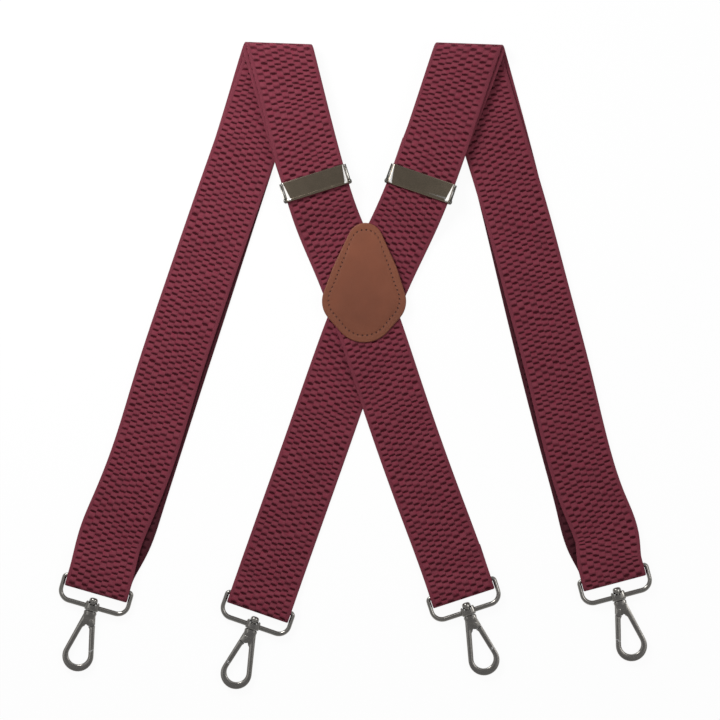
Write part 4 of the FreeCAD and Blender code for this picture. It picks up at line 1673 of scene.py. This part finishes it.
@dataclass
class Adjuster:
    """One flip-lever slide adjuster."""

    side: Side
    anvil_y: Pair = (-7.4, -0.8)
    anvil_z: float = 7.5
    crossbar_y: Pair = (3.2, 7.2)
    crossbar_z: float = 5.85
    bar_thick: float = 1.1
    bar_round: float = 0.42
    ear_inner: float = 25.8
    ear_thick: float = 1.25
    ear_round: float = 0.16
    boss: float = 1.75
    hinge: Pair = (-5.6, 12.6)
    front_y: float = 8.6
    plate: float = 0.8
    plate_falls: float = 1.05
    half_width: float = 25.6
    flat_half: Pair = (21.7, 24.0)
    fold_line: float = 24.4
    facet_drop: Pair = (0.4, 0.08)
    skirt: float = 0.8
    barrel: float = 1.6
    barrel_ends: float = 0.4
    tooth: float = 0.42
    notch_steps: tuple[int, int, int] = (104, 4, 10)
    pin_radius: float = 0.85
    pin_head: tuple[Pair, ...] = ((0, 0.6), (0.7, 0.56), (1.15, 0.38), (1.4, 0.05), (0.85, 0))

    @staticmethod
    def _bar(
        bm: Mesh, profile: list[Pair], ends: Pair, bevel: float, segments: int, rims: bool
    ) -> None:
        """Draws a (y, z) profile out along x and rounds it.

        Args:
            bm: where the bar is added.
            profile: its corners.
            ends: x of both ends.
            bevel: how far the rounding reaches.
            segments: steps of the rounding.
            rims: whether its two rims are rounded, and not its long edges.
        """
        known = set(bm.edges)
        start, stop = ends
        prism(bm, [Vector((start, y, z)) for y, z in profile], Vector((stop - start, 0, 0)))
        chosen = []
        for edge in (e for e in bm.edges if e not in known):
            level = abs(edge.verts[0].co.x - edge.verts[1].co.x) < 1e-6
            if level == rims:
                chosen.append(edge)
        how = {"offset_type": "OFFSET", "profile": 0.5, "affect": "EDGES", "material": -1}
        bmesh.ops.bevel(bm, geom=chosen, offset=bevel, segments=segments, **how)

    def slider(self) -> Mesh:
        """Anvil and crossbar joined by two upright ears.

        Returns:
            The mesh.
        """
        (y0, z0), x = self.hinge, self.ear_inner + self.ear_thick / 2
        low, boss, front = self.crossbar_z, self.boss, self.front_y
        bm = bmesh.new()
        for (a, b), z in ((self.anvil_y, self.anvil_z), (self.crossbar_y, low)):
            top = z + self.bar_thick
            self._bar(bm, [(a, z), (b, z), (b, top), (a, top)], (-x, x), self.bar_round, 3, False)
        profile = [(self.anvil_y[0], self.anvil_z), (self.anvil_y[0], z0 - 0.4)]
        for out in (ray(math.radians(180 - 18 * k)) * boss for k in range(9)):
            profile.append((y0 + out.x, z0 + out.y))
        profile += [(y0 + boss + 0.8, z0 + 0.15), (front - 0.4, z0 - 1.2), (front - 0.4, low + 0.8)]
        profile += [(front - 1.2, low), (self.crossbar_y[0] - 0.4, low)]
        profile += [(self.anvil_y[1] + 0.6, self.anvil_z)]
        for start in (self.ear_inner, -self.ear_inner - self.ear_thick):
            self._bar(bm, profile, (start, start + self.ear_thick), self.ear_round, 2, True)
        return bm

    def _plate_section(self, y: float, top: float, half: float, drop: float) -> list[Vector]:
        """The pressed plate's section across y: a flat top with a facet and a skirt at both sides.

        Args:
            y: where the section lies.
            top: height of the flat.
            half: half width of the flat.
            drop: how far each facet falls.

        Returns:
            The section.
        """
        w, t, fold, low = self.half_width, self.plate, self.fold_line, top - drop - self.skirt
        upper = [(-w, low), (-fold - 0.1, top - drop - 0.08), (-fold + 0.08, top - drop + 0.01)]
        upper += [(-half - 0.12, top - 0.02), (-half + 0.12, top)]
        upper += [(0, top)] + [(-x, z) for x, z in reversed(upper)]
        lower = [(w - 0.4, low), (fold - 0.4, top - drop - t), (half, top - t), (0, top - t)]
        lower += [(-x, z) for x, z in reversed(lower[:-1])]
        return [Vector((x, y, z)) for x, z in upper + lower]

    def _toothed_barrel(self) -> Mesh:
        """The rolled hinge end, notched underneath and thinner at both ends.

        Returns:
            The mesh.
        """
        y0, z0 = self.hinge
        count, every, plain = self.notch_steps
        sections = []
        for k in range(count + 1):
            x = -self.half_width + 2 * self.half_width * k / count
            notch = self.tooth if k % every == 0 and plain < k < count - plain else 0.0
            past = max(abs(x) - self.flat_half[0], 0.0) / (self.fold_line - self.flat_half[0])
            full = self.barrel - self.barrel_ends * min(past, 1.0)
            ring = []
            for angle in turns(28):
                out, up = math.cos(angle), math.sin(angle)
                radius = full - notch * max(0.0, -up) ** 4
                ring.append(Vector((x, y0 + radius * out, z0 + radius * up)))
            sections.append(ring)
        return loft(sections)

    def _on_hinge(self) -> Matrix:
        """Lays what stands along Y on the hinge line."""
        return Matrix.Translation((0, *self.hinge)) @ Matrix.Rotation(-math.pi / 2, 4, "Z")

    def lever(self) -> Mesh:
        """The flip cover: pressed plate, rolled barrel and teeth.

        Returns:
            The mesh, with its side facets in the second material, a near-white copy of the plate
            metal as a painted highlight.
        """
        y0, z0 = self.hinge
        top = z0 + self.barrel - 0.05
        (back, front), (deep, shallow) = self.flat_half, self.facet_drop
        rows = []
        for t in (k / 8 for k in range(9)):
            y = y0 - 0.2 + (self.front_y - 0.3 - y0) * t
            half, drop = back + (front - back) * t, deep + (shallow - deep) * t
            rows.append(self._plate_section(y, top - self.plate_falls * t, half, drop))
        rows.append(self._plate_section(self.front_y - 0.15, top - 1.12, front, shallow))
        nose = Matrix.Diagonal((0.998, 0, 0.6))
        centre = Vector((0, self.front_y, (top - 1.5) * 0.4))
        rows.append([nose @ point + centre for point in rows[-1]])
        bm = carved(loft(rows), self._toothed_barrel(), operation="UNION")
        hole = rod(self.pin_radius + 0.08, -40, 40)
        bmesh.ops.transform(hole, matrix=self._on_hinge(), verts=hole.verts[:])
        bm = carved(bm, hole)
        # the side facets take the second material, the painted highlight
        for face in bm.faces:
            beside = back < abs(face.calc_center_median().x) < self.fold_line
            leans = face.normal.z > 0.9 and 0.09 < abs(face.normal.x) < 0.3
            face.material_index = int(beside and leans)
        return bm

    def pin(self) -> Mesh:
        """The hinge pin with a low domed head at each end."""
        return headed_pin(self.pin_head, self.ear_inner + self.ear_thick, 28, self._on_hinge())

    def build(self, place: Matrix, materials: Materials) -> None:
        """Makes the adjuster's pieces on their bodies.

        Args:
            place: the adjuster's frame.
            materials: the finishes.
        """
        name = self.side.value
        parts = (
            ("adjuster_frame", self.slider(), FRAME_METAL, 30, "adjuster"),
            ("adjuster_lever", self.lever(), LEVER_METAL, 5, "lever"),
            ("lever_pin", self.pin(), FRAME_METAL, 30, "adjuster"),
        )
        for node, bm, finish, sharp, body in parts:
            made = piece(bm, f"{name}_{node}_pressed", materials[finish], place, sharp)
            if body == "lever":
                made.data.materials.append(materials[FACET_HIGHLIGHT_METAL])
            stand_for(made, f"{name}_{body}", f"{name}_{node}")


# ---------------------------------------------------------------- studio


@dataclass
class Studio:
    """Pale floor, soft light and the camera straight above, in metres."""

    middle: Pair = (0.0036, 0.0043)
    view_width: float = 0.56016
    lens: float = 200.0
    clip: Pair = (0.05, 20.0)
    floor_white: Colour = (250, 250, 250)
    floor_glow: float = 0.94
    floor_half: float = 4000.0
    floor_z: float = -0.05
    low_sky: Triple = (0.48, 0.48, 0.48)
    high_sky: Triple = (0.32, 0.32, 0.33)
    strip: Triple = (1.2, 1.2, 1.2)
    lamps: tuple[tuple[str, Triple, float, float], ...] = (
        ("key lamp", (-0.40, 0.50, 0.50), 0.32, 4.9),
        ("fill lamp", (0.8, 0.05, 0.8), 0.4, 2.0),
    )

    def build(self) -> None:
        """Makes the floor, the world, the lamps and the camera."""
        self._floor()
        self._world()
        for lamp in self.lamps:
            self._lamp(*lamp)
        self._camera()
        bpy.context.scene.view_settings.view_transform = "Standard"

    def _floor(self) -> None:
        """A wide white floor that keeps a faint shadow. Its size and place are millimetres."""
        bm = bmesh.new()
        bmesh.ops.create_grid(bm, x_segments=8, y_segments=8, size=self.floor_half)
        material = bpy.data.materials.new("white floor")
        g = blank_graph(material)
        plain = g.get("BsdfDiffuse", {"Color": self.floor_white})
        glow = g.get("Emission", {"Color": (1, 1, 1, 1), "Strength": 1.0})
        path = g.outputs(g.get("LightPath"))
        seen = g.math("MAXIMUM", path["Is Camera Ray"], path["Is Glossy Ray"])
        seen = g.math("MAXIMUM", seen, path["Is Transmission Ray"])
        g.end("OutputMaterial", g.get("MixShader", {0: seen * self.floor_glow, 1: plain, 2: glow}))
        piece(bm, "floor", material, Matrix.Translation((0, 0, self.floor_z)))

    def _world(self) -> None:
        """A soft sky, dimmer overhead, with two strips for the metal. The camera sees white."""
        world = bpy.data.worlds.new("studio")
        bpy.context.scene.world = world
        g = blank_graph(world)
        x, y, height = g.split(g.get("TexCoord", output="Generated"))
        soft = g.mix(height.remap(0.62, 0.98), (*self.low_sky, 1), (*self.high_sky, 1))
        depth = g.math("MAXIMUM", height, 0.01)
        across, along = abs(x) / depth, y / depth
        mask = across.remap(0.2, 0.23) * across.remap(0.46, 0.42)
        mask = mask * along.remap(-0.2, -0.15) * along.remap(0.6, 0.55)
        path = g.outputs(g.get("LightPath"))
        soft = g.mix(mask * path["Is Glossy Ray"], soft, (*self.strip, 1))
        colour = g.mix(path["Is Camera Ray"], soft, (1, 1, 1, 1))
        g.end("OutputWorld", g.get("Background", {"Color": colour, "Strength": 1.0}))

    @staticmethod
    def _lamp(name: str, place: Triple, size: float, power: float) -> None:
        """A square softbox aimed at the braces.

        Args:
            name: the lamp's name.
            place: where it stands.
            size: its side.
            power: in watts.
        """
        data = bpy.data.lights.new(name, "AREA")
        data.shape, data.size, data.size_y, data.energy = "RECTANGLE", size, size, power
        lamp = bpy.data.objects.new(name, data)
        lamp.location = place
        lamp.rotation_euler = (-Vector(place)).to_track_quat("-Z", "Y").to_euler()
        bpy.context.scene.collection.objects.link(lamp)

    def _camera(self) -> None:
        """The camera, straight above the middle of the view."""
        data = bpy.data.cameras.new("camera")
        data.lens, (data.clip_start, data.clip_end) = self.lens, self.clip
        camera = bpy.data.objects.new("camera", data)
        camera.location = (*self.middle, self.view_width * self.lens / data.sensor_width)
        bpy.context.scene.collection.objects.link(camera)
        bpy.context.scene.camera = camera


# ---------------------------------------------------------------- the braces


LEFT_ROUTE = Route(
    fold=(-59.9, 250.1),
    run_lean=-14.5,
    adjuster=(-30.9, 140.1),
    back=((-22.0, 112.8), (-8.9, 81.7), (3.3, 50.6), (35.0, -42.8), (59.4, -111.0)),
    back_ring=(81.8, -173.5, -18.0),
    front=(
        (-104.9, 112.8), (-126.2, 50.6), (-146.3, -10.0),
        (-166.2, -73.9), (-180.9, -111.0), (-190.9, -136.0),
    ),
    front_under=(
        (-75.8, 200.0), (-103.4, 112.8), (-123.3, 50.6), (-143.0, -10.0),
        (-163.4, -73.9), (-175.1, -111.0), (-184.2, -136.0),
    ),
    front_lean=18.6,
    front_ring=(-199.6, -169.8, 16.0),
    crossing=((-58, 0.9), (-28, 2.8), (-12, 2.8), (8, 4.4), (102, 4.4)),
)
RIGHT_ROUTE = Route(
    fold=(-88.7, 249.7),
    run_lean=-19.2,
    adjuster=(-50.5, 139.9),
    back=((-39.1, 112.8), (-24.3, 81.7), (-10.5, 50.6), (23.8, -42.8), (47.8, -111.0)),
    back_ring=(73.6, -184.5, -19.1),
    front=(
        (-126.3, 112.8), (-142.9, 50.6), (-158.8, -10.0),
        (-174.5, -73.9), (-187.0, -111.0), (-195.8, -136.0),
    ),
    front_under=(
        (-116.0, 150.0), (-140.0, 50.6), (-171.7, -73.9), (-181.4, -111.0), (-188.8, -136.0),
    ),
    front_lean=15.1,
    front_ring=(-199.6, -161.6, 14.8),
    crossing=((2, 0.9), (20, 2.5), (102, 2.5)),
)


def main() -> None:
    """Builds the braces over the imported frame."""
    logging.basicConfig(level=logging.INFO, format="%(message)s")
    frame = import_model()
    layout = Layout(frame)
    effects = Effects()
    materials = {f: f.build(effects) for f in (WEBBING, LEATHER, THREAD, *METALS)}
    shift = flat(layout.clip(Side.LEFT, End.FRONT).translation) - flat(LEFT_ROUTE.front_ring)
    for side, route in ((Side.LEFT, LEFT_ROUTE), (Side.RIGHT, RIGHT_ROUTE)):
        adjuster = Adjuster(side)
        place = layout.adjuster(side, adjuster.hinge)
        Webbing(side, route).build(shift, place, materials)
        adjuster.build(place, materials)
        for end in End:
            Clip(side, end).build(layout, materials, frame["nodes"])
    Patch().build(shift, materials)
    Studio().build()
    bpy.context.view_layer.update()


if __name__ == "__main__":
    main()
